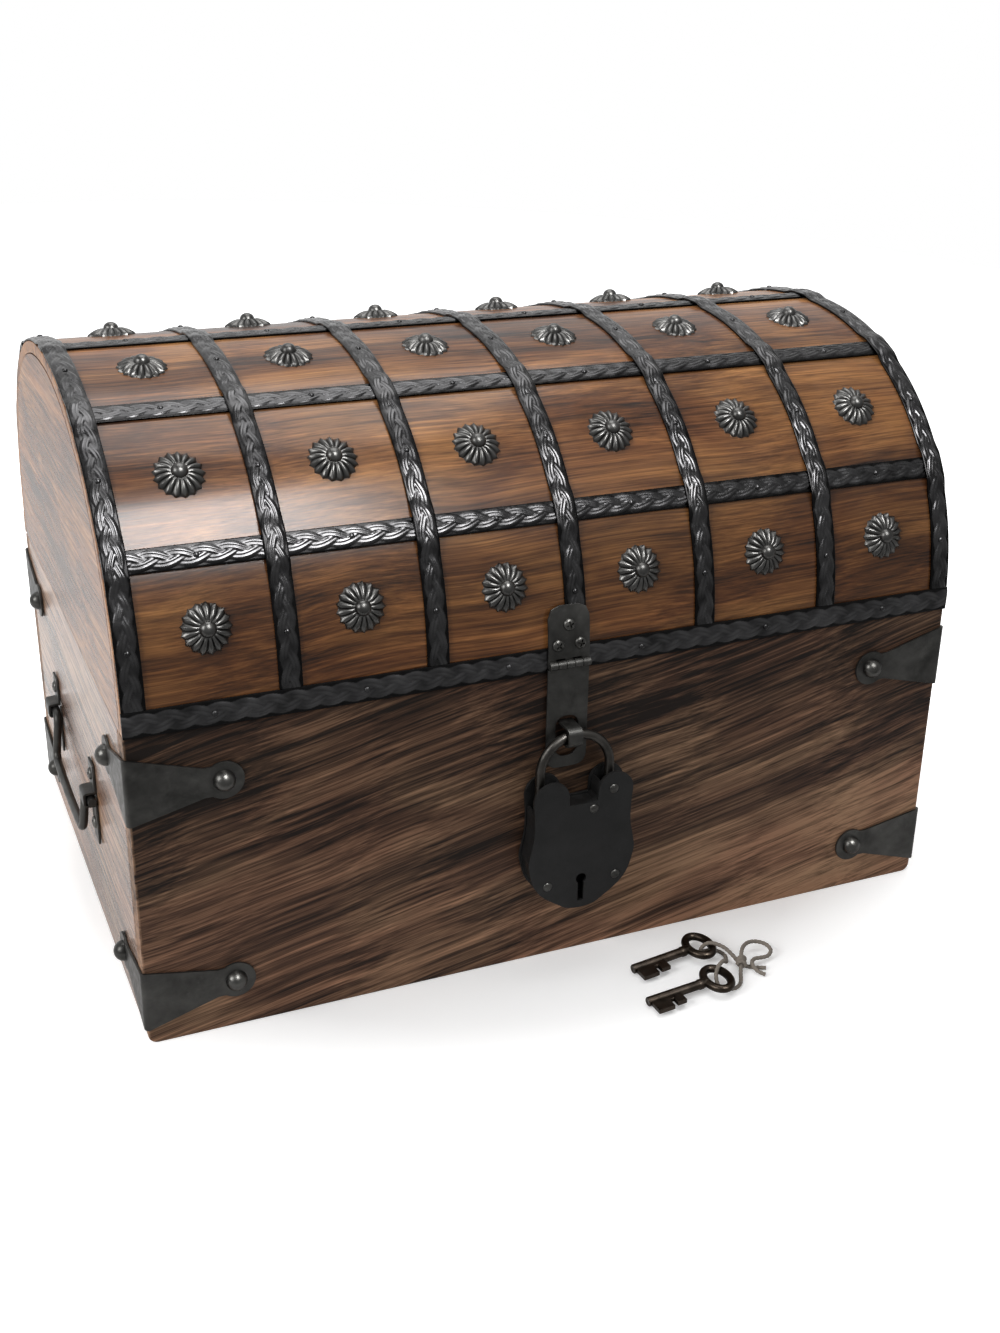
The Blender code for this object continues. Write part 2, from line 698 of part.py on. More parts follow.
def outer_spans(spans):
    """Every other knuckle from the ends in, with the end ones widened past the plate."""
    found = [list(span) for span in spans[::2]]
    found[0][0] -= OVERRUN
    found[-1][1] += OVERRUN
    return found


curl_turn = math.acos((KNUCKLE_OUT - SHEET_STEP - GAP - IRON) / KNUCKLE_RADIUS)


def screw_heads(bm, spots):
    """Add the heads of screws at each point and normal."""
    for point, normal, radius in spots:
        add_head(bm, point, normal, (1, 0, 0), radius, SCREW_HEIGHT, SCREW_SIDES, SCREW_LEVEL_SHARES)


# Back hinges: the box's leaf holds the pin and the lid's leaf lies over the rim band and a cross band
hinge_y = LID_HINGE[1]
hinge_z = LID_HINGE[2]
box_leaf = [
    (GAP, hinge_z - HINGE_LEAF),
    (GAP + IRON, hinge_z - HINGE_LEAF),
    (GAP + IRON, hinge_z - JOGGLE_FAR),
    (LEAF_FRONT, hinge_z - JOGGLE_NEAR),
    *curl(hinge_z, curl_turn - math.pi, math.pi),
    (LEAF_BACK, hinge_z - JOGGLE_NEAR + IRON / 2),
    (GAP, hinge_z - JOGGLE_FAR + IRON / 2),
]


def plate_over_lid(height, reach):
    """The outline of a plate that curls round its pin and follows the arch up from it."""
    start = height - LID_BASE
    rounds = stations(start, start + reach)[1:]
    inner = [arch_point(run, LEAF_BACK) for run in rounds]
    outer = [arch_point(run, LEAF_FRONT) for run in rounds]
    outline = [(-y - HALF_DEPTH, z) for y, z in inner + outer[::-1]]
    return outline + curl(height, math.pi - curl_turn, -math.pi)


lid_leaf = plate_over_lid(hinge_z, HINGE_LEAF)
for side, side_name in ((-1, "left"), (1, "right")):
    middle = side * BACK_HINGE_BAND * BAND_PITCH
    spans = knuckle_spans(middle, HINGE_WIDTH, HINGE_KNUCKLES)
    place = upright((middle, HALF_DEPTH, 0), (0, 1, 0), HINGE_WIDTH)
    past = HINGE_WIDTH + 2 * OVERRUN

    bm = bmesh.new()
    add_prism(bm, box_leaf, place, HINGE_WIDTH)
    leaf = keep(f"hinge_box_leaf_{side_name}", bm, PLAIN_IRON)
    bm = bmesh.new()
    add_clearances(bm, spans[1::2], hinge_y, hinge_z)
    boolean(leaf, cutter(f"{leaf.name}_clear", bm), "DIFFERENCE")
    bm = bmesh.new()
    spots = []
    for way, share in zip((-1, 1), HINGE_SCREW_SHARES):
        point = (middle + way * HINGE_WIDTH / 4, HALF_DEPTH + GAP + IRON, hinge_z - share * HINGE_LEAF)
        spots.append((point, (0, 1, 0), SCREW_RADIUS))
    screw_heads(bm, spots)
    boolean(leaf, cutter(f"{leaf.name}_screws", bm), "UNION")
    bm = bmesh.new()
    add_rod_along_x(bm, middle, HINGE_WIDTH + IRON, hinge_y, hinge_z, PIN_RADIUS)
    boolean(leaf, cutter(f"{leaf.name}_pin", bm), "UNION")

    bm = bmesh.new()
    add_prism(bm, lid_leaf, place, HINGE_WIDTH)
    leaf = keep(f"hinge_lid_leaf_{side_name}", bm, PLAIN_IRON, LID_HINGE)
    bm = bmesh.new()
    add_clearances(bm, outer_spans(spans), hinge_y, hinge_z)
    boolean(leaf, cutter(f"{leaf.name}_clear", bm), "DIFFERENCE")
    bm = bmesh.new()
    add_rod_along_x(bm, middle, past, hinge_y, hinge_z, PIN_RADIUS + GAP)
    boolean(leaf, cutter(f"{leaf.name}_bore", bm), "DIFFERENCE")
    bm = bmesh.new()
    spots = []
    for way, share in zip((-1, 1), HINGE_SCREW_SHARES):
        run = share * HINGE_LEAF + hinge_z - LID_BASE
        y, z = arch_point(run, LEAF_FRONT)
        spots.append(((middle + way * HINGE_WIDTH / 4, -y, z), flip_y(arch_normal(run)), SCREW_RADIUS))
    screw_heads(bm, spots)
    boolean(leaf, cutter(f"{leaf.name}_screws", bm), "UNION")

# Hasp: the plate on the lid holds the pin, and the leaf hangs from it over the staple
HASP_PIN = (HASP_X, -HALF_DEPTH - KNUCKLE_OUT, HASP_PIN_HEIGHT)
hasp_place = upright((HASP_X, -HALF_DEPTH, 0), (0, -1, 0), HASP_WIDTH)
spans = knuckle_spans(HASP_X, HASP_WIDTH, HASP_KNUCKLES)
tip = HASP_PIN_HEIGHT - HASP_LENGTH


def round_corners(bm, chosen, radius):
    """Round a plate's corners where its edges through the sheet are chosen by height."""
    edges = [
        e
        for e in bm.edges
        if all(chosen(v.co.z) for v in e.verts) and abs(e.verts[0].co.x - e.verts[1].co.x) < GAP
    ]
    bmesh.ops.bevel(bm, geom=edges, offset=radius, segments=4, profile=0.5, affect="EDGES")


leaf_outline = [(LEAF_BACK, tip), (LEAF_FRONT, tip), *curl(HASP_PIN_HEIGHT, curl_turn - math.pi, math.pi)]
bm = bmesh.new()
add_prism(bm, leaf_outline, hasp_place, HASP_WIDTH)
round_corners(bm, lambda z: z < tip + GAP, HASP_CORNER)
hasp_leaf = keep("hasp_leaf", bm, PLAIN_IRON, HASP_PIN)
bm = bmesh.new()
add_clearances(bm, outer_spans(spans), HASP_PIN[1], HASP_PIN_HEIGHT)
boolean(hasp_leaf, cutter("hasp_leaf_clear", bm), "DIFFERENCE")
bm = bmesh.new()
add_rod_along_x(bm, HASP_X, HASP_WIDTH + 2 * OVERRUN, HASP_PIN[1], HASP_PIN_HEIGHT, PIN_RADIUS + GAP)
boolean(hasp_leaf, cutter("hasp_leaf_bore", bm), "DIFFERENCE")

slot_u = SLOT_WIDTH / 2 - SLOT_ROUND
slot_top = HASP_PIN_HEIGHT - SLOT_START - SLOT_ROUND
slot_low = HASP_PIN_HEIGHT - SLOT_END + SLOT_ROUND
slot = []
quarters = ((slot_u, slot_top), (-slot_u, slot_top), (-slot_u, slot_low), (slot_u, slot_low))
for quarter, middle in enumerate(quarters):
    slot += arc(middle, SLOT_ROUND, quarter * math.pi / 2, (quarter + 1) * math.pi / 2, 3)
bm = bmesh.new()
depth = LEAF_FRONT + 2 * OVERRUN
add_prism(bm, slot, upright((HASP_X, -HALF_DEPTH - LEAF_FRONT / 2, 0), (1, 0, 0), depth), depth)
boolean(hasp_leaf, cutter("hasp_leaf_slot", bm), "DIFFERENCE")

bm = bmesh.new()
add_prism(bm, plate_over_lid(HASP_PIN_HEIGHT, HASP_PLATE), hasp_place, HASP_WIDTH)
crest = max(v.co.z for v in bm.verts) - IRON
round_corners(bm, lambda z: z > crest, HASP_CORNER)
hasp_plate = keep("hasp_plate", bm, PLAIN_IRON, LID_HINGE)
bm = bmesh.new()
add_clearances(bm, spans[1::2], HASP_PIN[1], HASP_PIN_HEIGHT)
boolean(hasp_plate, cutter("hasp_plate_clear", bm), "DIFFERENCE")
bm = bmesh.new()
add_rod_along_x(bm, HASP_X, HASP_WIDTH + IRON, HASP_PIN[1], HASP_PIN_HEIGHT, PIN_RADIUS)
boolean(hasp_plate, cutter("hasp_plate_pin", bm), "UNION")
bm = bmesh.new()
spots = []
spread = HASP_SCREW_SPREAD
screw_places = ((0, HASP_SCREW_TOP), (-spread, HASP_SCREW_ROW), (spread, HASP_SCREW_ROW))
for x, rise in screw_places:
    run = HASP_PIN_HEIGHT - LID_BASE + rise
    y, z = arch_point(run, LEAF_FRONT)
    spots.append(((HASP_X + x, y, z), arch_normal(run), HASP_SCREW_RADIUS))
screw_heads(bm, spots)
boolean(hasp_plate, cutter("hasp_plate_screws", bm), "UNION")

# Staple through the front board, drawn as distance off the wood and height
bar_reach = STAPLE_WIDTH / 2 + SHACKLE_OFF
bar_sag = SHACKLE_BEND - math.sqrt(SHACKLE_BEND**2 - bar_reach**2)
inner_low = SHACKLE_TOP - SHACKLE_RADIUS - bar_sag - GAP
inner_high = SHACKLE_TOP + SHACKLE_RADIUS + STAPLE_ROOM
inner_front = SHACKLE_OUT + SHACKLE_RADIUS + bar_sag + GAP
outer_low = inner_low - STAPLE_STRIP
outer_high = inner_high + STAPLE_STRIP
bend_in = STAPLE_RADIUS - STAPLE_STRIP
bend_u = inner_front - bend_in
staple = [(-BOARD, outer_low)]
staple += arc((bend_u, inner_low + bend_in), STAPLE_RADIUS, -math.pi / 2, 0, 3)
staple += arc((bend_u, inner_high - bend_in), STAPLE_RADIUS, 0, math.pi / 2, 3)
staple += [(-BOARD, outer_high), (-BOARD, inner_high)]
staple += arc((bend_u, inner_high - bend_in), bend_in, math.pi / 2, 0, 3)
staple += arc((bend_u, inner_low + bend_in), bend_in, 0, -math.pi / 2, 3)
staple += [(-BOARD, inner_low)]
bm = bmesh.new()
add_prism(bm, staple, upright((HASP_X, -HALF_DEPTH, 0), (0, -1, 0), STAPLE_WIDTH), STAPLE_WIDTH)
keep("hasp_staple", bm, PLAIN_IRON)
bm = bmesh.new()
hole_half = STAPLE_WIDTH / 2 + GAP
for low, high in ((outer_low, inner_low), (inner_high, outer_high)):
    add_block(
        bm, HASP_X - hole_half, HASP_X + hole_half,
        -HALF_DEPTH - OVERRUN, OVERRUN - CAVITY_Y, low - GAP, high + GAP,
    )
boolean(bpy.data.objects["front_panel"], cutter("staple_holes", bm), "DIFFERENCE")

# Padlock: the shackle's ring lies in a plane in front of the staple, and the case turns on the shackle's heel
SHACKLE_Y = -HALF_DEPTH - SHACKLE_OUT
SHACKLE_ORIGIN = (HASP_X, SHACKLE_Y, SHACKLE_TOP)
RING_X = HASP_X + SHACKLE_OFF
HEEL_X = RING_X + SHACKLE_BEND
LOCK_X = HASP_X + LOCK_OFF
CASE_ORIGIN = (HEEL_X, SHACKLE_Y, LOCK_BOTTOM + HEEL_HEIGHT)
facing_front = (1, 0, 0)

bend = arc((RING_X, SHACKLE_TOP - SHACKLE_BEND), SHACKLE_BEND, 0, math.pi, SHACKLE_STEPS)
path = [(HEEL_X, CASE_ORIGIN[2]), *bend, (RING_X - SHACKLE_BEND, LOCK_BOTTOM + TOE_HEIGHT)]
bm = rod_mesh([(x, SHACKLE_Y, z) for x, z in path], SHACKLE_RADIUS, 2)
shackle = keep("padlock_shackle", bm, SHACKLE_STEEL, SHACKLE_ORIGIN)
bm = bmesh.new()
add_prism(bm, polygon(KNUCKLE_SIDES, HEEL_EYE), upright(CASE_ORIGIN, facing_front, HEEL_THICK), HEEL_THICK)
boolean(shackle, cutter("heel_eye", bm), "UNION")
bm = bmesh.new()
depth = HEEL_THICK + 2 * OVERRUN
add_prism(bm, polygon(RIVET_SIDES, RIVET_RADIUS + GAP), upright(CASE_ORIGIN, facing_front, depth), depth)
boolean(shackle, cutter("heel_hole", bm), "DIFFERENCE")

right_side = [(x * LOCK_HALF, z * LOCK_HEIGHT) for x, z in LOCK_SIDE_SHARES]
lock_outline = [(0, 0), *right_side, *[(-x, z) for x, z in right_side[::-1]]]


def inset(outline, distance):
    """The closed outline moved inwards, corner by corner."""
    pts = np.array(outline)
    edge = np.roll(pts, -1, axis=0) - pts
    edge /= np.linalg.norm(edge, axis=1)[:, None]
    inward = np.stack([-edge[:, 1], edge[:, 0]], 1)
    both = inward + np.roll(inward, 1, axis=0)
    both /= np.linalg.norm(both, axis=1)[:, None]
    both /= (both * inward).sum(axis=1)[:, None]
    return [tuple(p) for p in pts + distance * both]


wall_outer = inset(lock_outline, LOCK_WALL_INSET)
wall_inner = inset(lock_outline, LOCK_WALL_INSET + LOCK_WALL)
wall_depth = LOCK_DEPTH - 2 * LOCK_PLATE - 2 * GAP
around = list(range(-WALL_CORNERS, WALL_CORNERS + 1))
first_notch = len(right_side) + 1 - NOTCH_CORNERS
notch = list(range(first_notch, first_notch + 2 * NOTCH_CORNERS))
for name, order in (("padlock_wall", around), ("padlock_notch_wall", notch)):
    strip = [wall_outer[k] for k in order] + [wall_inner[k] for k in order[::-1]]
    bm = bmesh.new()
    add_prism(bm, strip, upright((LOCK_X, SHACKLE_Y, LOCK_BOTTOM), facing_front, wall_depth), wall_depth)
    keep(name, bm, LOCK_BLACK, CASE_ORIGIN)

# Rivets stand from behind the case to its front, along local Z
narrow = RIVET_RADIUS / RIVET_HEAD
half_lock = LOCK_DEPTH / 2 + GAP
rivet_levels = [
    (RIVET_CROWN_SHARE, -half_lock - RIVET_PROUD),
    (1, -half_lock),
    (narrow, -half_lock),
    (narrow, half_lock),
    (1, half_lock),
    (RIVET_CROWN_SHARE, half_lock + RIVET_PROUD),
]
heel_spot = (HEEL_X - LOCK_X, HEEL_HEIGHT)
fixed_spots = [(x * LOCK_HALF, z * LOCK_HEIGHT) for x, z in LOCK_RIVET_SHARES]


def lock_place(x, z, depth=0):
    """A matrix at a spot of the case, centred in its thickness."""
    return upright((LOCK_X + x, SHACKLE_Y, LOCK_BOTTOM + z), facing_front, depth)


bm = bmesh.new()
add_stack(bm, polygon(RIVET_SIDES, RIVET_HEAD), lock_place(*heel_spot), rivet_levels)
keep("padlock_heel_rivet", bm, NAIL_IRON, CASE_ORIGIN)

plates = []
for name, way in (("padlock_back_plate", 1), ("padlock_front_plate", -1)):
    y = SHACKLE_Y + way * (LOCK_DEPTH - LOCK_PLATE) / 2
    bm = bmesh.new()
    add_prism(bm, lock_outline, upright((LOCK_X, y, LOCK_BOTTOM), facing_front, LOCK_PLATE), LOCK_PLATE)
    plate = keep(name, bm, LOCK_BLACK, CASE_ORIGIN)
    holes = bmesh.new()
    depth = LOCK_DEPTH + 2 * OVERRUN
    for spot in [heel_spot] + (fixed_spots if way < 0 else []):
        add_prism(holes, polygon(RIVET_SIDES, RIVET_RADIUS + GAP), lock_place(*spot, depth), depth)
    boolean(plate, cutter(f"{name}_holes", holes), "DIFFERENCE")
    plates.append(plate)
bm = bmesh.new()
for spot in fixed_spots:
    add_stack(bm, polygon(RIVET_SIDES, RIVET_HEAD), lock_place(*spot), rivet_levels)
boolean(plates[0], cutter("padlock_fixed_rivets", bm), "UNION")

slot_angle = math.asin(KEYHOLE_SLOT / 2 / KEYHOLE_RADIUS)
keyhole = arc(
    (0, KEYHOLE_TOP), KEYHOLE_RADIUS, slot_angle - math.pi / 2, 3 * math.pi / 2 - slot_angle, KNUCKLE_SIDES
)
keyhole += [(-KEYHOLE_SLOT / 2, KEYHOLE_END), (KEYHOLE_SLOT / 2, KEYHOLE_END)]
bm = bmesh.new()
y = SHACKLE_Y - (LOCK_DEPTH - LOCK_PLATE) / 2
depth = LOCK_PLATE + 2 * OVERRUN
add_prism(bm, keyhole, upright((LOCK_X, y, LOCK_BOTTOM), facing_front, depth), depth)
boolean(plates[1], cutter("keyhole", bm), "DIFFERENCE")

# Drop handles: each bail turns in two lugs, drawn as distance off the wood and height
strip_out = GAP + IRON
lug_outline = [
    (GAP, LUG_BOTTOM),
    (strip_out, LUG_BOTTOM),
    (strip_out, LOOP_BOTTOM),
    (LOOP_OUT, LOOP_BOTTOM),
    (LOOP_OUT, LOOP_TOP),
    (strip_out, LOOP_TOP),
    (strip_out, LUG_TOP),
    (GAP, LUG_TOP),
    (GAP, LOOP_TOP - IRON),
    (LOOP_OUT - IRON, LOOP_TOP - IRON),
    (LOOP_OUT - IRON, LOOP_BOTTOM + IRON),
    (GAP, LOOP_BOTTOM + IRON),
]
BAIL_HEIGHT = (LOOP_BOTTOM + LOOP_TOP) / 2
BAIL_MIDDLE = (LUG_FRONT + LUG_BACK) / 2


def bail_path():
    """The handle bar's middle line, as distance off the wood, place along the depth, and height."""
    ends = []
    for lug, way in ((LUG_FRONT, 1), (LUG_BACK, -1)):
        inner = lug + way * (LUG_WIDTH / 2 + 2 * GAP)
        limb = inner + way * BAIL_BEND
        points = [(lug - way * (LUG_WIDTH / 2 + BAIL_STUB), 0), (inner, 0)]
        points += arc((inner, -BAIL_BEND), BAIL_BEND, math.pi / 2, math.pi / 2 * (1 - way), BEND_STEPS)[1:]
        centre = (limb + way * BAIL_BEND, BAIL_BEND - BAIL_DROP)
        points += arc(centre, BAIL_BEND, math.pi / 2 * (1 + way), math.pi / 2 * (1 + 2 * way), BEND_STEPS)
        ends.append(points)
    line = [*ends[0], (BAIL_MIDDLE, -BAIL_DROP - BAIL_SAG), *ends[1][::-1]]
    slope = (BAIL_GRIP_OUT - BAIL_OUT) / BAIL_DROP
    return [(BAIL_OUT - drop * slope, along, BAIL_HEIGHT + drop) for along, drop in line]


for side, side_name in ((-1, "left"), (1, "right")):
    points = [(side * (HALF_WIDTH + out), y, z) for out, y, z in bail_path()]
    bm = rod_mesh(points, BAIL_RADIUS, 2)
    pivot = (side * (HALF_WIDTH + BAIL_OUT), BAIL_MIDDLE, BAIL_HEIGHT)
    keep(f"handle_bail_{side_name}", bm, PLAIN_IRON, pivot)
    for lug, lug_name in ((LUG_FRONT, "front"), (LUG_BACK, "back")):
        bm = bmesh.new()
        add_prism(bm, lug_outline, upright((side * HALF_WIDTH, lug, 0), (side, 0, 0), LUG_WIDTH), LUG_WIDTH)
        made = keep(f"handle_lug_{side_name}_{lug_name}", bm, PLAIN_IRON)
        bm = bmesh.new()
        spots = [((side * (HALF_WIDTH + strip_out), lug, z), (side, 0, 0), SCREW_RADIUS) for z in LUG_SCREWS]
        for point, normal, radius in spots:
            add_head(bm, point, normal, (0, 1, 0), radius, SCREW_HEIGHT, SCREW_SIDES, SCREW_LEVEL_SHARES)
        boolean(made, cutter(f"{made.name}_screws", bm), "UNION")

# Keys: each has a round shank, an oval bow and a bit with two teeth
bit_root = KEY_SHANK / 2
bit_outline = [
    (KEY_BIT_START, bit_root),
    (KEY_BIT_START, -KEY_BIT_REACH),
    (KEY_BIT_NOTCH, -KEY_BIT_REACH),
    (KEY_BIT_NOTCH, KEY_NOTCH_DEPTH - KEY_BIT_REACH),
    (KEY_BIT_NOTCH + KEY_NOTCH_WIDTH, KEY_NOTCH_DEPTH - KEY_BIT_REACH),
    (KEY_BIT_NOTCH + KEY_NOTCH_WIDTH, KEY_BIT_STEP - KEY_BIT_REACH),
    (KEY_BIT_END, KEY_BIT_STEP - KEY_BIT_REACH),
    (KEY_BIT_END, bit_root),
]
bow_x = KEY_LENGTH - KEY_BOW_ALONG - KEY_BOW_BAR
bow_points = [
    (bow_x + u * KEY_BOW_ALONG, v * KEY_BOW_ACROSS, 0) for u, v in polygon(BOW_STEPS, 1)
]
shank_end = bow_x - KEY_BOW_ALONG + KEY_BOW_BAR / 3
key_tilt = math.atan2(KEY_RAISE, bow_x)
for k, ((x, before), turn) in enumerate(zip(KEY_PLACES, KEY_TURN_DEGREES)):
    key_place = (
        Matrix.Translation((x, -HALF_DEPTH - before, KEY_SHANK + GAP))
        @ Matrix.Rotation(math.radians(turn), 4, "Z")
        @ Matrix.Rotation(-key_tilt, 4, "Y")
    )
    bm = bmesh.new()
    shank = facing((0, 0, 0), (1, 0, 0), (0, 0, 1))
    add_prism(bm, polygon(KEY_SIDES, KEY_SHANK), shank, shank_end)
    bm.transform(key_place)
    key = keep(f"key_{k + 1}", bm, KEY_BRONZE, key_place.translation)
    bm = rod_mesh(bow_points, KEY_BOW_BAR, 2, cyclic=True)
    bm.transform(key_place)
    boolean(key, cutter(f"key_bow_{k + 1}", bm), "UNION")
    bm = bmesh.new()
    add_prism(bm, bit_outline, Matrix.Translation((0, 0, -KEY_BIT_THICK / 2)), KEY_BIT_THICK)
    bm.transform(key_place)
    boolean(key, cutter(f"key_bit_{k + 1}", bm), "UNION")


def smooth(route, count):
    """Points evenly along a smooth curve through the route's points."""
    pts = np.array([route[0], *route, route[-1]])
    dense = []
    for k in range(1, len(pts) - 2):
        a, b, c, d = pts[k - 1 : k + 3]
        for t in np.linspace(0, 1, SMOOTH_STEPS, endpoint=False):
            bent = (2 * a - 5 * b + 4 * c - d) * t**2 + (3 * b - a - 3 * c + d) * t**3
            dense.append(b + ((c - a) * t + bent) / 2)
    dense = np.array([*dense, pts[-1]])
    run = np.concatenate(([0], np.cumsum(np.linalg.norm(np.diff(dense, axis=0), axis=1))))
    want = np.linspace(0, run[-1], count)
    return [tuple(float(np.interp(w, run, dense[:, axis])) for axis in range(3)) for w in want]


# Twine
twine = bpy.data.curves.new("key_twine", "CURVE")
twine.dimensions = "3D"
twine.bevel_depth = TWINE_RADIUS
twine.bevel_resolution = 2
twine.use_fill_caps = True
strand = twine.splines.new("POLY")
twine_route = [(x, -HALF_DEPTH - before, z) for x, before, z in TWINE_ROUTE]
twine_points = smooth(twine_route, TWINE_POINTS)
strand.points.add(len(twine_points) - 1)
for knot, point in zip(strand.points, twine_points):
    knot.co = (*point, 1)
twine.materials.append(TWINE_FIBRE)
PARTS.objects.link(bpy.data.objects.new("key_twine", twine))
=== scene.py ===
"""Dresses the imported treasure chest: boards, braided bands, rosettes, fittings, padlock, handles and keys."""

import math

import bmesh
import bpy
import numpy as np
from mathutils import Matrix, Vector


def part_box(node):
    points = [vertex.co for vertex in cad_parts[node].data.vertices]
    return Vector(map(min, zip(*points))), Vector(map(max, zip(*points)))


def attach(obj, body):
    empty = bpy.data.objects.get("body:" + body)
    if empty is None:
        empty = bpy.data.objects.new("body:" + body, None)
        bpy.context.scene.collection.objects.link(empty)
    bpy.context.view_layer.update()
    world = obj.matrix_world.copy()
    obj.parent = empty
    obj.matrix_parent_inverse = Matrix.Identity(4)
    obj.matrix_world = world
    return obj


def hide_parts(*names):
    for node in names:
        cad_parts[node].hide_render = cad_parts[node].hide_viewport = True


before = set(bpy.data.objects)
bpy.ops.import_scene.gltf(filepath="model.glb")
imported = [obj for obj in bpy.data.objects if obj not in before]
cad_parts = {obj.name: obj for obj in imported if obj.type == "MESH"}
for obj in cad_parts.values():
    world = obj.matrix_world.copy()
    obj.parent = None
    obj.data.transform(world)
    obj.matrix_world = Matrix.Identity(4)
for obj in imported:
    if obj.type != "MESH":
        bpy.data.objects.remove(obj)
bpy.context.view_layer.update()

bl_info = {
    "name": "Treasure chest dressing",
    "version": (1, 0, 0),
    "blender": (4, 5, 0),
    "location": "View3D > Sidebar > Chest",
    "description": "Builds the chest's boards, iron fittings, padlock and keys, each with its finish",
    "category": "Object",
}

# Meshing
QUARTER = math.pi / 2
MERGE = 0.00001
SHARP = math.radians(35)
CUT_STEP = 0.003

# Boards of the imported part, and sheet iron
PANEL_LOW, PANEL_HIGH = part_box("front_panel")
HALF_WIDTH = PANEL_HIGH.x
HALF_DEPTH = -PANEL_LOW.y
BOARD = PANEL_HIGH.y - PANEL_LOW.y
LID_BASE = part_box("lid_rail_front")[0].z
STAVE = 0.006
CORNER_ROUND = 0.0045
CORNER_STEPS = 5
GAP = 0.0003
IRON = 0.0012
SHEET_STEP = GAP + IRON

# Wood of each board: shift and turn of the grain, coat of varnish and brightening
ALONG_DEPTH = (0.0, 0.0, -90.0)
BOX_WOODS = {
    "front": ((0.31, 0.0, 0.07), (0.0, 12.0, 0.0), 0.0, 0.0),
    "back": ((1.70, 0.4, 0.31), (0.0, -5.0, 0.0), 0.0, 0.0),
    "left": ((0.55, 2.1, 0.0), ALONG_DEPTH, 0.8, 0.10),
    "right": ((3.10, 1.3, 0.4), ALONG_DEPTH, 0.8, 0.10),
    "base": ((2.2, 4.1, 1.7), (0.0, 0.0, 3.0), 0.0, 0.0),
}
LID_WOODS = {
    "skin": ((0.13, 0.02, 0.05), (0.0, 1.5, 1.0), 0.50, 0.16),
    "end_left": ((-0.1, 1.4, 0.6), ALONG_DEPTH, 0.7, 0.18),
    "end_right": ((1.9, 1.4, 0.6), ALONG_DEPTH, 0.7, 0.18),
}

# Lid's arch
LID_RISE = 0.137
ARCH_POWER = 2.2
ARCH_SAMPLES = 6001
ARCH_STEPS = 120
NORMAL_SPAN = 0.0008

# Bands over the lid
BAYS = 6
BAND = 0.0108
RIM_BAND = 0.0120
BAND_RAMP = 0.009
BAND_INSET = 0.0003
BAND_PITCH = (2 * HALF_WIDTH - 2 * BAND_INSET - BAND) / BAYS
HALF_BAND = BAND / 2
BAND_CELL = 0.0005
BAND_CELLS_ACROSS = 32
BAND_EDGE = 0.0005
BAND_FLOOR_SHARE = 0.22
CROSS_START = RIM_BAND + GAP
TACK_RADIUS = 0.0014
TACK_HEIGHT = 0.0008
TACK_LIFT = SHEET_STEP + 0.0003
TACK_CREST = 0.6
TACK_RINGS = 4
TACK_STEPS = 16
PLAIT_STRANDS = 3
PLAIT_MARGIN = 0.0009
PLAIT_SWING_SHARE = 0.55
PLAIT_STRAND_SHARE = 0.44
PLAIT_OVER_SHARE = 0.26
PLAIT_ROUND_SHARE = 0.65
RIM_RELIEF_SHARE = 0.55

# Rosettes
ROSETTE_RADIUS = 0.0118
ROSETTE_STEPS_PER_PETAL = 8
ROSETTE_NAIL = 0.0039
ROSETTE_FLUTES = 0.0056
ROSETTE_RIM_HEIGHT = 0.0015
PETAL_POWER = 0.6
PETAL_PULL = 0.13
PETAL_PULL_POWER = 6
ROSETTE_CREST = 0.8
GROOVE_CREST = 0.25
ROSETTE_TURNS = (1.7, 2.3)
ROSETTE_PROFILE = (
    (0.0000, 0.0065), (0.0012, 0.0064), (0.0023, 0.0059), (0.0031, 0.0052), (0.0036, 0.0043),
    (0.0038, 0.0034), (0.0040, 0.0034), (0.0052, 0.0036), (0.0066, 0.0033), (0.0080, 0.0028),
    (0.0093, 0.0022), (0.0104, 0.0015), (0.0112, 0.0010), (0.0118, 0.0004), (0.0117, -0.0012),
    (0.0000, -0.0014),
)

# Corner straps: reach, eyes, and each strap's low edge, high edge and eye
STRAP_REACH = 0.0428
STRAP_EYE_RADIUS = 0.0092
STRAP_NECK_SHARE = 0.80
STRAP_HEIGHTS = {"upper": (0.1164, 0.1494, 0.1323), "lower": (0.0083, 0.0398, 0.0262)}
STRAP_FOLD = 0.0010
HALF_FOLD = STRAP_FOLD * QUARTER / 2
FOLD_CUTS = 3
EYE_STEPS = 28
NAIL_RADIUS = 0.0052
NAIL_HEIGHT = 0.0050
NAIL_RINGS = 9
NAIL_STEPS = 32

# Screws
SCREW_STEPS = 32
SCREW_PROFILE = (
    (0, 0.00160), (0.0008, 0.00158), (0.0014, 0.00152), (0.0020, 0.00138), (0.0026, 0.00112),
    (0.0030, 0.00075), (0.0032, 0.00030), (0.0032, -0.0006), (0, -0.0006),
)
SLOT_HALF = 0.00040
SLOT_REACH = 0.0019
SLOT_DEPTH = 0.0010
SLOT_RIM = 0.00008

# Hinges
KNUCKLE_RADIUS = 0.0021
KNUCKLE_EDGE = 0.0002
KNUCKLE_STEPS = 28
KNUCKLE_OUT = SHEET_STEP + GAP + KNUCKLE_RADIUS
LEAF_BACK = SHEET_STEP + GAP
HINGE_WIDTH = 0.026
HINGE_LEAF = 0.030
HINGE_CORNER = 0.004
HINGE_CORNER_STEPS = 6
HINGE_CUTS = 9
HINGE_KNUCKLES = 3
HINGE_BAND = 2
HINGE_SCREW_SHARES = (0.44, 0.80)
HINGE_Z = 0.1593
JOGGLE_NEAR = 0.0036
JOGGLE_FAR = 0.0060

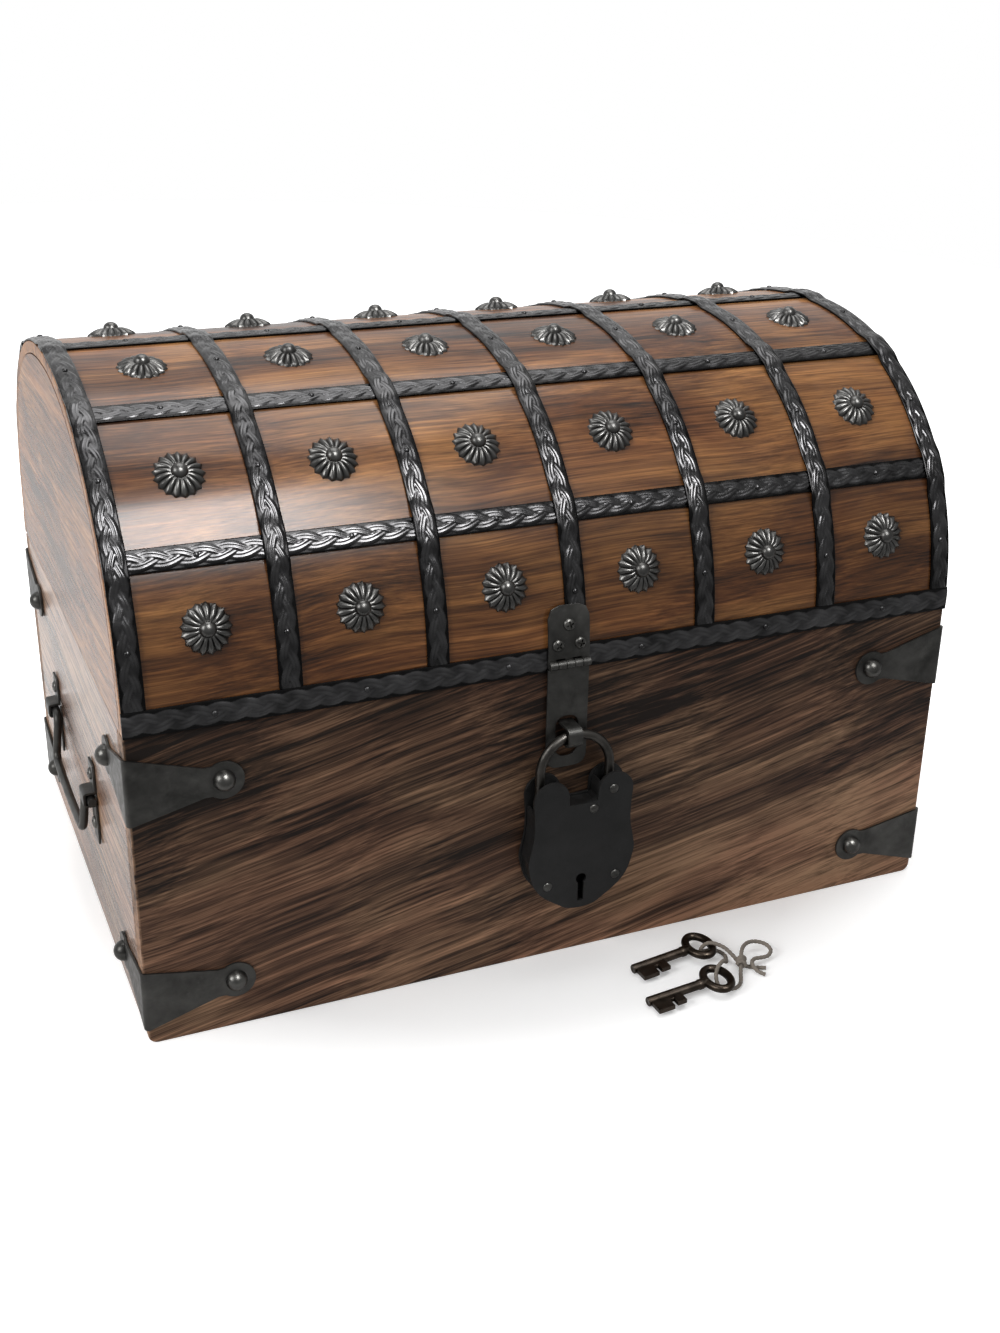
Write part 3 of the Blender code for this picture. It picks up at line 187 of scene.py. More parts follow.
# Hasp and staple
HASP_X = -0.0045
HASP_WIDTH = 0.0216
HASP_PLATE = 0.0285
HASP_KNUCKLES = 5
HASP_PIN_Z = 0.1635
HASP_LENGTH = 0.0550
HASP_CORNER = 0.0060
HASP_PLATE_CORNER_STEPS = 2
HASP_LEAF_CORNER_STEPS = 8
HASP_PLATE_CUTS = 8
HASP_SLOT_HALF = 0.0060
HASP_SLOT_START = 0.0275
HASP_SLOT_END = 0.0490
HASP_SLOT_ROUND = 0.0050
HASP_SLOT_STEPS = 6
HASP_SCREWS = ((0, 0.0190), (-0.0058, 0.0095), (0.0058, 0.0095))
HASP_SCREW_TURNS = (0.3, 0.5)
HASP_SCREW_SHARE = 0.94
STAPLE_WIDTH = 0.0075
STAPLE_STRIP = 0.0015
STAPLE_RADIUS = 0.0035
STAPLE_ROOM = 0.0012
STAPLE_OUTER_STEPS = 8
STAPLE_INNER_STEPS = 6

# Padlock
SHACKLE_RADIUS = 0.0024
SHACKLE_SIDES = 24
SHACKLE_STEPS = 40
SHACKLE_BEND = 0.0186
SHACKLE_Y = -HALF_DEPTH - 0.0085
SHACKLE_TOP = 0.1280
RING_X = HASP_X + 0.0025
HEEL_X = RING_X + SHACKLE_BEND
HEEL_Z = 0.0981
HEEL_STEPS = 32
HEEL_EYE = (
    (0, -0.0022), (0.0034, -0.0022), (0.0036, -0.0020), (0.0036, 0.0020), (0.0034, 0.0022), (0, 0.0022),
)
TOE_Z = 0.0919
LOCK_X = HASP_X + 0.0050
LOCK_HALF = 0.0288
LOCK_HEIGHT = 0.0729
LOCK_DEPTH = 0.0125
LOCK_PLATE = 0.0015
LOCK_EDGE = 0.0005
LOCK_BOTTOM = 0.0340
LOCK_SMOOTHING = 5
RIVET_HEAD = 0.0024
RIVET_PROUD = 0.0009
RIVET_RINGS = 6
RIVET_STEPS = 24
KEYHOLE_RADIUS = 0.0028
KEYHOLE_TOP = 0.0167
KEYHOLE_END = 0.0040
KEYHOLE_HALF = 0.0016
KEYHOLE_STEPS = 20
LOCK_SIDE_SHARES = (
    (0.253, 0.014), (0.400, 0.047), (0.583, 0.096), (0.736, 0.144), (0.858, 0.206), (0.934, 0.274),
    (0.986, 0.357), (1.000, 0.412), (0.965, 0.494), (0.913, 0.590), (0.903, 0.686), (0.910, 0.782),
    (0.927, 0.864), (0.899, 0.919), (0.823, 0.960), (0.712, 0.988), (0.583, 0.999), (0.441, 0.986),
    (0.330, 0.947), (0.278, 0.898), (0.264, 0.830), (0.226, 0.808),
)
LOCK_RIVET_SHARES = ((0.194, 0.753), (-0.635, 0.214), (0.656, 0.208))

# Drop handles
LUGS_Y = (-0.0455, 0.0666)
LUG_WIDTH = 0.012
LUG_BOTTOM = 0.0570
LUG_TOP = 0.1010
LUG_BEND = 0.0018
LUG_OUTER_STEPS = 5
LUG_INNER_STEPS = 4
LOOP_BOTTOM = 0.0785
LOOP_TOP = 0.0865
LOOP_OUT = 0.0072
LOOP_ROOT = 0.0003
LUG_SCREWS_Z = (0.0668, 0.0945)
LUG_SCREW_TURN = 40
BAIL_RADIUS = 0.0022
BAIL_SIDES = 20
BAIL_STEPS = 12
BAIL_EDGE = 0.0003
BAIL_OUT = 0.0031
BAIL_GRIP_OUT = 0.0062
BAIL_DROP = 0.0260
BAIL_BEND = 0.0060
BAIL_STUB = 0.0030
BAIL_SAG = 0.0015
SAG_SHARES = (0.2, 0.35, 0.5, 0.65, 0.8)

# Keys
KEY_PLACES = ((0.0225, -0.1795), (0.0165, -0.2070))
KEY_TURN_DEGREES = (4.36, 2.29)
KEY_SHANK = 0.0024
KEY_BOW_ALONG = 0.0060
KEY_BOW_ACROSS = 0.0090
KEY_BOW_BAR = 0.0021
KEY_BOW_STEPS = 44
KEY_BOW_SIDES = 20
KEY_SHANK_STEPS = 28
KEY_BOW_X = 0.0480 - KEY_BOW_ALONG - KEY_BOW_BAR
KEY_END = KEY_BOW_X - KEY_BOW_ALONG + KEY_BOW_BAR / 3
KEY_RAISE = 0.0024
KEY_EDGE = 0.0003
KEY_COLLAR = KEY_SHANK + 0.0003
KEY_SHANK_PROFILE = (
    (0, KEY_EDGE), (0.0010, 0), (KEY_SHANK - KEY_EDGE, 0), (KEY_SHANK, KEY_EDGE),
    (KEY_SHANK, KEY_END - 0.0060), (KEY_COLLAR, KEY_END - 0.0055),
    (KEY_COLLAR, KEY_END - 0.0035), (KEY_SHANK, KEY_END - 0.0030),
    (KEY_SHANK * 0.95, KEY_END), (0, KEY_END + 0.0004),
)
KEY_BIT_THICK = 0.0024
KEY_BIT = (
    (0.0010, 0.0012), (0.0010, -0.0100), (0.0100, -0.0100), (0.0100, -0.0045),
    (0.0122, -0.0045), (0.0122, -0.0085), (0.0175, -0.0085), (0.0175, 0.0012),
)

# Twine through both bows, as route points in metres, and the turns of its knot
TWINE_RADIUS = 0.0011
TWINE_ROUND_SHARE = 0.80
TWINE_SIDES = 14
TWINE_POINTS = 320
SMOOTH_STEPS = 24
KNOT_PLACE = (0.0758, -0.1960, 0.0044)
KNOT_WAY = (0.51, 0.86, 0.0)
KNOT_RADIUS = 0.0020
KNOT_SLACK = 0.1
KNOT_BEAT = 1.7
KNOT_PITCH = 0.0019
KNOT_TURNS = 3
TWINE_ROUTE = (
    (0.0874, -0.2014, 0.0011), (0.0815, -0.1985, 0.0011), (0.0770, -0.1940, 0.0014),
    (0.0750, -0.1895, 0.0040), (0.0722, -0.1860, 0.0070), (0.0690, -0.1835, 0.0086),
    (0.0665, -0.1815, 0.0089), (0.0642, -0.1796, 0.0076), (0.0628, -0.1778, 0.0040),
    (0.0642, -0.1765, 0.0012), (0.0685, -0.1768, 0.0011), (0.0725, -0.1795, 0.0011),
    (0.0735, -0.1840, 0.0011), (0.0715, -0.1890, 0.0014), (0.0680, -0.1935, 0.0048),
    (0.0645, -0.1971, 0.0083), (0.0614, -0.1994, 0.0089), (0.0588, -0.2012, 0.0082),
    (0.0570, -0.2032, 0.0048), (0.0570, -0.2065, 0.0014), (0.0600, -0.2100, 0.0011),
    (0.0645, -0.2108, 0.0011), (0.0690, -0.2075, 0.0011), (0.0722, -0.2020, 0.0020),
    (0.0755, -0.1965, 0.0044), (0.0785, -0.1915, 0.0062), (0.0825, -0.1868, 0.0062),
    (0.0875, -0.1838, 0.0056), (0.0925, -0.1838, 0.0048), (0.0962, -0.1868, 0.0040),
    (0.0962, -0.1915, 0.0034), (0.0925, -0.1948, 0.0030), (0.0880, -0.1952, 0.0032),
    (0.0840, -0.1955, 0.0036), (0.0808, -0.1985, 0.0036), (0.0812, -0.2030, 0.0020),
    (0.0840, -0.2065, 0.0011),
)

# Floor, camera fitted to the photograph, and softboxes: place, size and the value with their power
FLOOR_RADIUS = 1.6
FLOOR_BACK = 1.15
FLOOR_STEPS = 96
# Where the floor in front turns to painted shade that only reflections and bounced light see, and the fade into
# it
DARK_FLOOR_EDGE = -0.38
DARK_FLOOR_FADE = 0.14
CAMERA_PLACE = (-0.30995, -0.77355, 0.46575)
CAMERA_TURN = (66.2997, -0.8510, -23.0024)
FOCAL_PIXELS = 1596.04
PHOTO_HEIGHT = 1333
SENSOR = 36.0
SHEEN_LIGHT = "front_softbox"
SOFTBOXES = {
    SHEEN_LIGHT: ((0.12, -1.12, 1.50), (0.52, 0.86), "sheen_power"),
    "top_softbox": ((0.10, 0.35, 1.60), (1.0, 1.0), "key_power"),
    "side_softbox": ((-1.75, -0.55, 1.15), (1.0, 1.0), "side_power"),
}
SOFTBOX_AIM = (0, 0, 0.15)

# Wood: shares of the grain's burnt streaks, lines and fibres, and the tones' places in its ramp
BOX_SHARES = (0.36, 0.40, 0.26)
LID_SHARES = (0.30, 0.15, 0.20)
TONE_PLACES = (0.26, 0.44, 0.62, 0.82)
MID_SHARE = 0.4
FIBRE_TINT = (0.82, 1.18)
PORE_TINT = 0.35
WHITE = (1, 1, 1, 1)
RED_CAST = (0.93, 0.80, 0.82, 1)
WORN_TINT = 0.40
WOOD_DUST = (0.40, 0.37, 0.34, 1)
WOOD_DUST_SHARE = 0.05
VARNISH_ROUGHNESS = (0.56, 0.42)

# Front board's tone along it, and painted light and shade up it (painted light low, painted shade high): low
# and high place, then the tone added at each
FRONT_ALONG = (-0.02, 0.20, -0.05, 0.10)
FRONT_UP_LIGHT_AND_SHADE = (0.01, 0.13, 0.16, -0.13)

# Iron's dust, worn edges and hollows
IRON_DUST = (0.16, 0.155, 0.15, 1)
IRON_DUST_SHARE = 0.12
CREST_SPAN = (0.60, 1.0)
CREST_SHARE = 0.6
HOLLOW_SPAN = (0.35, 0.0)
HOLLOW_SHARE = 0.25
SMUDGE_SPAN = (0.62, 0.8)
SMUDGE_SHARE = 0.25

# Iron and bronze: the colour's name, its brightening, the roughness and what else differs
METALS = {
    "band_iron_braided": ("band_iron", 1.0, 0.27, {"relief": True}),
    "band_iron_rim": ("band_iron", 1.1, 0.42, {"relief": True}),
    "band_iron_rosettes": ("rosette_iron", 1.0, 0.36, {"relief": True}),
    "plain_iron_black": ("plain_iron", 1.0, 0.40, {"metallic": 0.85}),
    "screw_iron_bright": ("plain_iron", 1.7, 0.36, {}),
    "nail_iron_polished": ("plain_iron", 1.3, 0.34, {}),
    "lock_black_paint": ("lock_black", 1.0, 0.50, {"spread": 0.25, "metallic": 0.6}),
    "shackle_steel_worn": ("shackle_steel", 1.0, 0.38, {}),
    "key_bronze_worn": ("key_bronze", 1.0, 0.34, {"spread": 0.6}),
}


def number(name, default, description, unit="NONE"):
    """A number that the panel shows."""
    return bpy.props.FloatProperty(name=name, description=description, default=default, unit=unit)


def colour(name, default, description):
    """A colour that the panel shows."""
    return bpy.props.FloatVectorProperty(
        name=name, description=description, default=default, subtype="COLOR", size=3, min=0, max=1
    )


class ChestSizes(bpy.types.PropertyGroup):
    """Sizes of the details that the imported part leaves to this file."""

    board_edge: number("Board edge", 0.0007, "Rounding along the boards' edges", "LENGTH")
    iron_edge: number("Iron edge", 0.00025, "Rounding along sheet iron's edges", "LENGTH")
    plait_length: number("Plait length", 0.034, "Length of one full turn of the bands' plait", "LENGTH")
    plait_relief: number("Plait relief", 0.0009, "How deep the plait is pressed", "LENGTH")
    ridge_share: number("Ridge share", 0.28, "Depth of each strand's lines as a share of the relief")
    petals: bpy.props.IntProperty(name="Petals", description="Petals of each rosette", default=17)
    petal_depth: number("Petal depth", 0.0011, "Depth of the grooves between petals", "LENGTH")
    twine_pitch: number("Twine pitch", 0.0042, "Length of one turn of the twine's two plies", "LENGTH")


class ChestFinishes(bpy.types.PropertyGroup):
    """Colours of the finishes."""

    box_char: colour("Box char", (0.014, 0.009, 0.0065), "Darkest streaks of the box")
    box_brown: colour("Box brown", (0.080, 0.045, 0.027), "Middle tone of the box")
    box_warm: colour("Box warm", (0.370, 0.217, 0.126), "Lighter streaks of the box")
    lid_char: colour("Lid char", (0.018, 0.008, 0.004), "Darkest streaks of the lid")
    lid_brown: colour("Lid brown", (0.125, 0.050, 0.0165), "Middle tone of the lid")
    lid_warm: colour("Lid warm", (0.510, 0.230, 0.074), "Lighter streaks of the lid")
    band_iron: colour("Band iron", (0.040, 0.0395, 0.0405), "Braided bands")
    rosette_iron: colour("Rosette iron", (0.055, 0.054, 0.052), "Rosettes over the lid")
    plain_iron: colour("Plain iron", (0.052, 0.051, 0.048), "Straps, hinges, hasp and handles")
    lock_black: colour("Lock black", (0.015, 0.015, 0.015), "Padlock case")
    shackle_steel: colour("Shackle steel", (0.050, 0.047, 0.043), "Shackle")
    key_bronze: colour("Key bronze", (0.042, 0.033, 0.026), "Keys")
    twine_fibre: colour("Twine fibre", (0.225, 0.200, 0.165), "Twine")


class ChestStage(bpy.types.PropertyGroup):
    """Light and floor."""

    floor: colour("Floor", (0.88, 0.88, 0.88), "Floor")
    key_power: number("Top light", 13.0, "Power of the softbox over the chest", "POWER")
    sheen_power: number("Sheen light", 40.0, "Power of the softbox that varnish and iron mirror", "POWER")
    side_power: number("Side light", 26.0, "Power of the softbox at the left", "POWER")
    fill: number("Fill", 0.75, "Strength of the light all round")
    room: number("Room", 0.42, "How bright the room in front looks")


def sizes():
    """The sizes that the panel shows."""
    return bpy.context.scene.chest_sizes


def finishes():
    """The colours that the panel shows."""
    return bpy.context.scene.chest_finishes


# Lines and places
def read_arch():
    """Distance round, depth and height of points over the lid's outer face."""
    turn = np.linspace(0, math.pi, ARCH_SAMPLES)
    y = -HALF_DEPTH * np.sign(np.cos(turn)) * np.abs(np.cos(turn)) ** (2 / ARCH_POWER)
    z = LID_BASE + LID_RISE * np.abs(np.sin(turn)) ** (2 / ARCH_POWER)
    return np.concatenate(([0], np.cumsum(np.hypot(np.diff(y), np.diff(z))))), y, z


ARCH_RUN, ARCH_Y, ARCH_Z = read_arch()
ARCH_LENGTH = float(ARCH_RUN[-1])
BAY_MIDDLES = [(k + 0.5 - BAYS / 2) * BAND_PITCH for k in range(BAYS)]


def over_arch(run, lift):
    """Depths and heights of points over the lid, from distances round and lifts off the wood."""
    run = np.asarray(run, float)
    near = np.clip(run - NORMAL_SPAN, 0, ARCH_LENGTH)
    far = np.clip(run + NORMAL_SPAN, 0, ARCH_LENGTH)
    dy = np.interp(far, ARCH_RUN, ARCH_Y) - np.interp(near, ARCH_RUN, ARCH_Y)
    dz = np.interp(far, ARCH_RUN, ARCH_Z) - np.interp(near, ARCH_RUN, ARCH_Z)
    size = np.hypot(dy, dz)
    y = np.interp(run, ARCH_RUN, ARCH_Y) - lift * dz / size
    z = np.interp(run, ARCH_RUN, ARCH_Z) + lift * dy / size + np.minimum(run, 0)
    return y, z


def arch_place(x, run, lift, turn=0.0):
    """A matrix at a spot over the lid, with local Z off the wood and local X along the chest."""
    y, z = over_arch(run, lift)
    y_up, z_up = over_arch(run, lift + IRON)
    normal = (0, float(y_up - y), float(z_up - z))
    return facing((x, float(y), float(z)), normal, (1, 0, 0)) @ Matrix.Rotation(turn, 4, "Z")


def facing(point, normal, along):
    """A matrix at a point whose local Z is the normal and whose local X is near the along direction."""
    z = Vector(normal).normalized()
    x = (Vector(along) - z * Vector(along).dot(z)).normalized()
    return Matrix.Translation(Vector(point)) @ Matrix((x, z.cross(x), z)).transposed().to_4x4()


def upright(middle, out, width):
    """A matrix whose local X points out and local Y up, and whose local Z spans the width."""
    x = Vector(out)
    y = Vector((0, 0, 1))
    z = x.cross(y)
    return Matrix.Translation(Vector(middle) - z * width / 2) @ Matrix((x, y, z)).transposed().to_4x4()


def arc(middle, radius, start, end, steps):
    """Points on an arc in a plane, both ends included."""
    turns = [start + (end - start) * k / steps for k in range(steps + 1)]
    return [(middle[0] + radius * math.cos(a), middle[1] + radius * math.sin(a)) for a in turns]


def ring_of(radius, sides):
    """A round section."""
    return arc((0, 0), radius, 0, math.tau * (1 - 1 / sides), sides - 1)


def distances(points):
    """The distance along a line of points, at each of them."""
    return np.concatenate(([0], np.cumsum(np.linalg.norm(np.diff(points, axis=0), axis=1))))


def smooth_step(low, high, value):
    """0 below low, 1 above high, and a smooth rise between."""
    share = np.clip((value - low) / (high - low), 0, 1)
    return share * share * (3 - 2 * share)


def spline(points, steps):
    """Points along a smooth curve through all the given points but the first and the last."""
    pts = np.array(points)
    found = []
    for a, b, c, d in zip(pts, pts[1:], pts[2:], pts[3:]):
        for t in np.linspace(0, 1, steps, endpoint=False):
            bent = (2 * a - 5 * b + 4 * c - d) * t**2 + (3 * b - a - 3 * c + d) * t**3
            found.append(tuple(b + ((c - a) * t + bent) / 2))
    return found


# Meshes
def new_verts(geom):
    """The vertices among what an operator made."""
    return [g for g in geom if isinstance(g, bmesh.types.BMVert)]


def soften(bm, width):
    """Round every sharp edge a little."""
    bmesh.ops.recalc_face_normals(bm, faces=bm.faces)
    sharp = [e for e in bm.edges if len(e.link_faces) == 2 and e.calc_face_angle() > SHARP]
    bmesh.ops.bevel(
        bm, geom=sharp, offset=width, segments=2, profile=0.5, affect="EDGES", material=-1, clamp_overlap=True
    )


def add_plate(bm, loops, depth):
    """Add a flat plate in the local XY plane from its outline and holes, drawn out along local Z."""
    edges = []
    for loop in loops:
        ring = [bm.verts.new((u, v, 0)) for u, v in loop]
        edges += [bm.edges.new(pair) for pair in zip(ring, ring[1:] + ring[:1])]
    filled = bmesh.ops.triangle_fill(bm, use_beauty=True, use_dissolve=False, edges=edges)["geom"]
    faces = [g for g in filled if isinstance(g, bmesh.types.BMFace)]
    drawn = bmesh.ops.extrude_face_region(bm, geom=faces, use_keep_orig=True)["geom"]
    bmesh.ops.translate(bm, verts=new_verts(drawn), vec=(0, 0, depth))


def standing_plate(loops, thickness, middle, out, edge):
    """A plate from loops of distance out and height, centred on the middle over its thickness."""
    bm = bmesh.new()
    add_plate(bm, loops, thickness)
    bmesh.ops.transform(bm, matrix=upright(middle, out, thickness), verts=bm.verts)
    soften(bm, edge)
    return bm


def cut_across(bm, places, axis):
    """Cut the mesh by planes along one axis, so that it can bend there."""
    normal = Vector((0, 0, 0))
    normal[axis] = 1
    for place in places:
        geom = [*bm.verts, *bm.edges, *bm.faces]
        bmesh.ops.bisect_plane(bm, geom=geom, dist=MERGE, plane_co=normal * place, plane_no=normal)


def turned(profile, steps):
    """A shape turned about Z from points of radius and height."""
    bm = bmesh.new()
    verts = [bm.verts.new((radius, 0, height)) for radius, height in profile]
    edges = [bm.edges.new(pair) for pair in zip(verts, verts[1:])]
    bmesh.ops.spin(
        bm, geom=verts + edges, cent=(0, 0, 0), axis=(0, 0, 1), dvec=(0, 0, 0), angle=math.tau,
        steps=steps, use_merge=True, use_duplicate=False,
    )
    bmesh.ops.remove_doubles(bm, verts=bm.verts, dist=MERGE)
    bmesh.ops.recalc_face_normals(bm, faces=bm.faces)
    return bm


def dome(radius, height, rings, sink):
    """The profile of a round-headed nail or rivet."""
    turns = [QUARTER * k / rings for k in range(rings + 1)]
    return [*[(radius * math.sin(a), height * math.cos(a)) for a in turns], (radius, -sink), (0, -sink)]


def pattern(name, bm):
    """Keep a shape as a mesh, to be stamped or made a piece."""
    mesh = bpy.data.meshes.new(name)
    bm.to_mesh(mesh)
    bm.free()
    return mesh


def stamp(bm, shape, place):
    """Add a copy of a kept shape."""
    placed = shape.copy()
    placed.transform(place)
    bm.from_mesh(placed)
    bpy.data.meshes.remove(placed)


def path_frames(points, closed, pitch):
    """A matrix at each point of a path, with local Z along it; a pitch turns them as they go."""
    pts = [Vector(p) for p in points]
    count = len(pts)
    frames = []
    side = None
    gone = 0.0
    for k, point in enumerate(pts):
        before = pts[k - 1] if closed or k > 0 else point
        after = pts[(k + 1) % count] if closed or k < count - 1 else point
        along = (after - before).normalized()
        side = along.orthogonal() if side is None else side
        side = (side - along * side.dot(along)).normalized()
        gone += (point - pts[k - 1]).length if k > 0 else 0
        turn = math.tau * gone / pitch if pitch else 0
        basis = Matrix((side, along.cross(side), along)).transposed().to_4x4()
        frames.append(Matrix.Translation(point) @ basis @ Matrix.Rotation(turn, 4, "Z"))
    return frames


def add_rod(bm, points, section, closed=False, pitch=0.0):
    """Add a rod: a section of local points carried along a path."""
    frames = path_frames(points, closed, pitch)
    ring = [bm.verts.new(frames[0] @ Vector((u, v, 0))) for u, v in section]
    first = edges = [bm.edges.new(pair) for pair in zip(ring, ring[1:] + ring[:1])]
    for last, now in zip(frames, frames[1:]):
        drawn = bmesh.ops.extrude_edge_only(bm, edges=edges)["geom"]
        fresh = new_verts(drawn)
        bmesh.ops.transform(bm, matrix=now @ last.inverted(), verts=fresh)
        kept = set(fresh)
        edges = [g for g in drawn if isinstance(g, bmesh.types.BMEdge) and set(g.verts) <= kept]
    if closed:
        bmesh.ops.bridge_loops(bm, edges=first + edges)
    else:
        bmesh.ops.edgeloop_fill(bm, edges=first)
        bmesh.ops.edgeloop_fill(bm, edges=edges)


def keep(name, bm, finish, body, stands_for=(), weighted=True):
    """Make a piece of the chest that rides on a body and takes the finish of a slot."""
    bmesh.ops.recalc_face_normals(bm, faces=bm.faces)
    mesh = pattern(name, bm)
    mesh.materials.append(finish)
    mesh.shade_smooth()
    mesh.set_sharp_from_angle(angle=SHARP)
    piece = bpy.data.objects.new(name, mesh)
    bpy.context.scene.collection.objects.link(piece)
    if weighted:
        shading = piece.modifiers.new("even shading", "WEIGHTED_NORMAL")
        shading.keep_sharp = True
    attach(piece, body)
    if stands_for:
        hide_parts(*stands_for)
    return piece


def keep_stamps(name, shape, places, metal, body, stands_for=()):
    """Make a piece of copies of one kept shape."""
    bm = bmesh.new()
    for place in places:
        stamp(bm, shape, place)
    keep(name, bm, metal_finish(metal), body, stands_for, False)


def keep_plain(name, bm, body, node):
    """Make a piece of plain iron that stands for one node."""
    keep(name, bm, metal_finish("plain_iron_black"), body, (node,))


# Shader groups
class Tree:
    """Short ways to add and join shader nodes."""

    def __init__(self, tree):
        """Keep the tree that nodes are added to."""
        self.tree = tree

    def add(self, kind, settings=None, **inputs):
        """Add a node with its settings, and fill inputs by name with values or links."""
        made = self.tree.nodes.new(kind)
        for key, value in (settings or {}).items():
            setattr(made, key, value)
        for key, value in inputs.items():
            self.fill(made.inputs[key.replace("_", " ")], value)
        return made

    def fill(self, socket, value):
        """Set a socket's value, or link it from another socket."""
        if isinstance(value, bpy.types.NodeSocket):
            self.tree.links.new(value, socket)
        else:
            socket.default_value = value

    def result(self, kind, settings, *values):
        """Add a node, fill its inputs in order and give its first output."""
        made = self.add(kind, settings)
        for socket, value in zip(made.inputs, values):
            self.fill(socket, value)
        return made.outputs[0]

    def math(self, operation, *values, clamp=False):
        """A Math node's result."""
        return self.result("ShaderNodeMath", {"operation": operation, "use_clamp": clamp}, *values)

    def plus(self, first, second):
        """A sum."""
        return self.math("ADD", first, second)

    def times(self, first, second):
        """A product."""
        return self.math("MULTIPLY", first, second)

    def vector(self, operation, *values):
        """A Vector Math node's result."""
        return self.result("ShaderNodeVectorMath", {"operation": operation}, *values)

    def span(self, value, low, high, to_low=0.0, to_high=1.0):
        """A Map Range node's clamped result."""
        return self.result("ShaderNodeMapRange", None, value, low, high, to_low, to_high)

    def coords(self, kind="Object"):
        """Texture coordinates."""
        return self.add("ShaderNodeTexCoord").outputs[kind]

    def split(self, vector):
        """The parts of a vector."""
        return self.add("ShaderNodeSeparateXYZ", None, Vector=vector).outputs

    def combine(self, x, y, z):
        """A vector from its parts."""
        return self.result("ShaderNodeCombineXYZ", None, x, y, z)

    def noise(self, vector, scale, detail=2.0, roughness=0.5, distortion=0.0):
        """A Noise Texture's value."""
        return self.add(
            "ShaderNodeTexNoise", {"noise_dimensions": "3D"},
            Vector=vector, Scale=scale, Detail=detail, Roughness=roughness, Distortion=distortion,
        ).outputs["Fac"]

    def mix(self, share, first, second, blend="MIX"):
        """A colour mix."""
        made = self.add("ShaderNodeMix", {"data_type": "RGBA", "blend_type": blend})
        for socket, value in ((0, share), (6, first), (7, second)):
            self.fill(made.inputs[socket], value)
        return made.outputs[2]

    def ramp(self, value, stops):
        """A colour ramp's colour, from pairs of a place and a colour."""
        stops = list(stops)
        made = self.add("ShaderNodeValToRGB")
        elements = made.color_ramp.elements
        while len(elements) < len(stops):
            elements.new(0.5)
        for element, (place, tint) in zip(elements, stops):
            element.position = place
            element.color = (*tint, 1)
        self.fill(made.inputs[0], value)
        return made.outputs[0]


def grain(tree, given):
    """Burnt streaks, lines, fibres, pores and figure, from 0 to 1, of wood with its grain along X."""
    place = given["Vector"]
    drift = tree.add("ShaderNodeTexNoise", None, Vector=place, Scale=5.0, Detail=2.0)
    centred = tree.vector("SUBTRACT", drift.outputs["Color"], (0.5, 0.5, 0.5))
    moved = tree.add("ShaderNodeVectorMath", {"operation": "SCALE"}, Scale=given["Wander"])
    tree.fill(moved.inputs[0], centred)
    bent = tree.vector("ADD", place, moved.outputs[0])

    def stretched(length_share, width, *settings):
        """Noise drawn out along the grain."""
        along = tree.math("DIVIDE", 1 / length_share, given["Streak Length"])
        across = tree.math("DIVIDE", 1.0, given[width])
        return tree.noise(tree.vector("MULTIPLY", bent, tree.combine(along, across, across)), 1.0, *settings)

    pores = tree.noise(tree.vector("MULTIPLY", bent, (90.0, 1700.0, 1700.0)), 1.0, 1.0, 0.4)
    figure = tree.noise(tree.vector("MULTIPLY", bent, (9.0, 24.0, 24.0)), 1.0, 3.0, 0.5, 0.8)
    return {
        "Burn": tree.span(stretched(1.0, "Burn Width", 7.0, 0.62, 0.5), 0.34, 0.66),
        "Lines": tree.span(stretched(1.2, "Line Width", 5.0, 0.65, 0.3), 0.32, 0.68),
        "Fibres": tree.span(stretched(0.50, "Fibre Width", 3.0, 0.65), 0.30, 0.70),
        "Pores": tree.span(pores, 0.62, 0.74),
        "Figure": tree.span(figure, 0.34, 0.66),
    }


def worn_edge(tree, given):
    """A mask of worn wood close to a board's edge, broken up by noise."""
    away = tree.math("SUBTRACT", given["Edge"], tree.math("ABSOLUTE", given["Place"]))
    near = tree.math("SUBTRACT", 1.0, tree.math("DIVIDE", away, given["Depth"]), clamp=True)
    broken = tree.noise(given["Vector"], 170.0, 4.0, 0.6)
    return {"Mask": tree.times(tree.span(near, 0.0, 0.6), tree.span(broken, 0.38, 0.56))}


def forged(tree, given):
    """Tone, smudges and fine pits of blackened iron."""
    place = given["Vector"]
    patch = given["Patch Scale"]
    return {
        "Tone": tree.noise(place, patch, 4.0, 0.6, 0.3),
        "Smudges": tree.noise(place, tree.times(patch, 4.5), 3.0, 0.55),
        "Pits": tree.noise(place, given["Pit Scale"], 2.0, 0.6),
    }


def dust_film(tree, given):
    """A mask of dust lying on faces that look up."""
    height = tree.split(tree.add("ShaderNodeNewGeometry").outputs["Normal"])["Z"]
    cloud = tree.noise(given["Vector"], given["Scale"], 5.0, 0.65)
    return {"Dust": tree.times(tree.span(height, 0.1, 1.0), tree.span(cloud, 0.42, 0.75))}


SHADER_GROUPS = {
    "wood_grain": (
        grain,
        {
            "Streak Length": 0.22, "Burn Width": 0.026, "Line Width": 0.0028,
            "Fibre Width": 0.0011, "Wander": 0.020,
        },
    ),
    "worn_edge": (worn_edge, {"Place": 0.0, "Edge": HALF_WIDTH, "Depth": 0.0012}),
    "forged_iron": (forged, {"Patch Scale": 55.0, "Pit Scale": 1400.0}),
    "dust_film": (dust_film, {"Scale": 42.0}),
}


def new_group(name, build, inputs):
    """Make a shared group with a vector and numbers in, and what its function names out."""
    group = bpy.data.node_groups.new(name, "ShaderNodeTree")
    group.interface.new_socket("Vector", in_out="INPUT", socket_type="NodeSocketVector")
    for key, value in inputs.items():
        group.interface.new_socket(key, in_out="INPUT", socket_type="NodeSocketFloat").default_value = value
    tree = Tree(group)
    results = build(tree, tree.add("NodeGroupInput").outputs)
    for key in results:
        group.interface.new_socket(key, in_out="OUTPUT", socket_type="NodeSocketFloat")
    out = tree.add("NodeGroupOutput")
    for key, value in results.items():
        tree.fill(out.inputs[key], value)
    return group


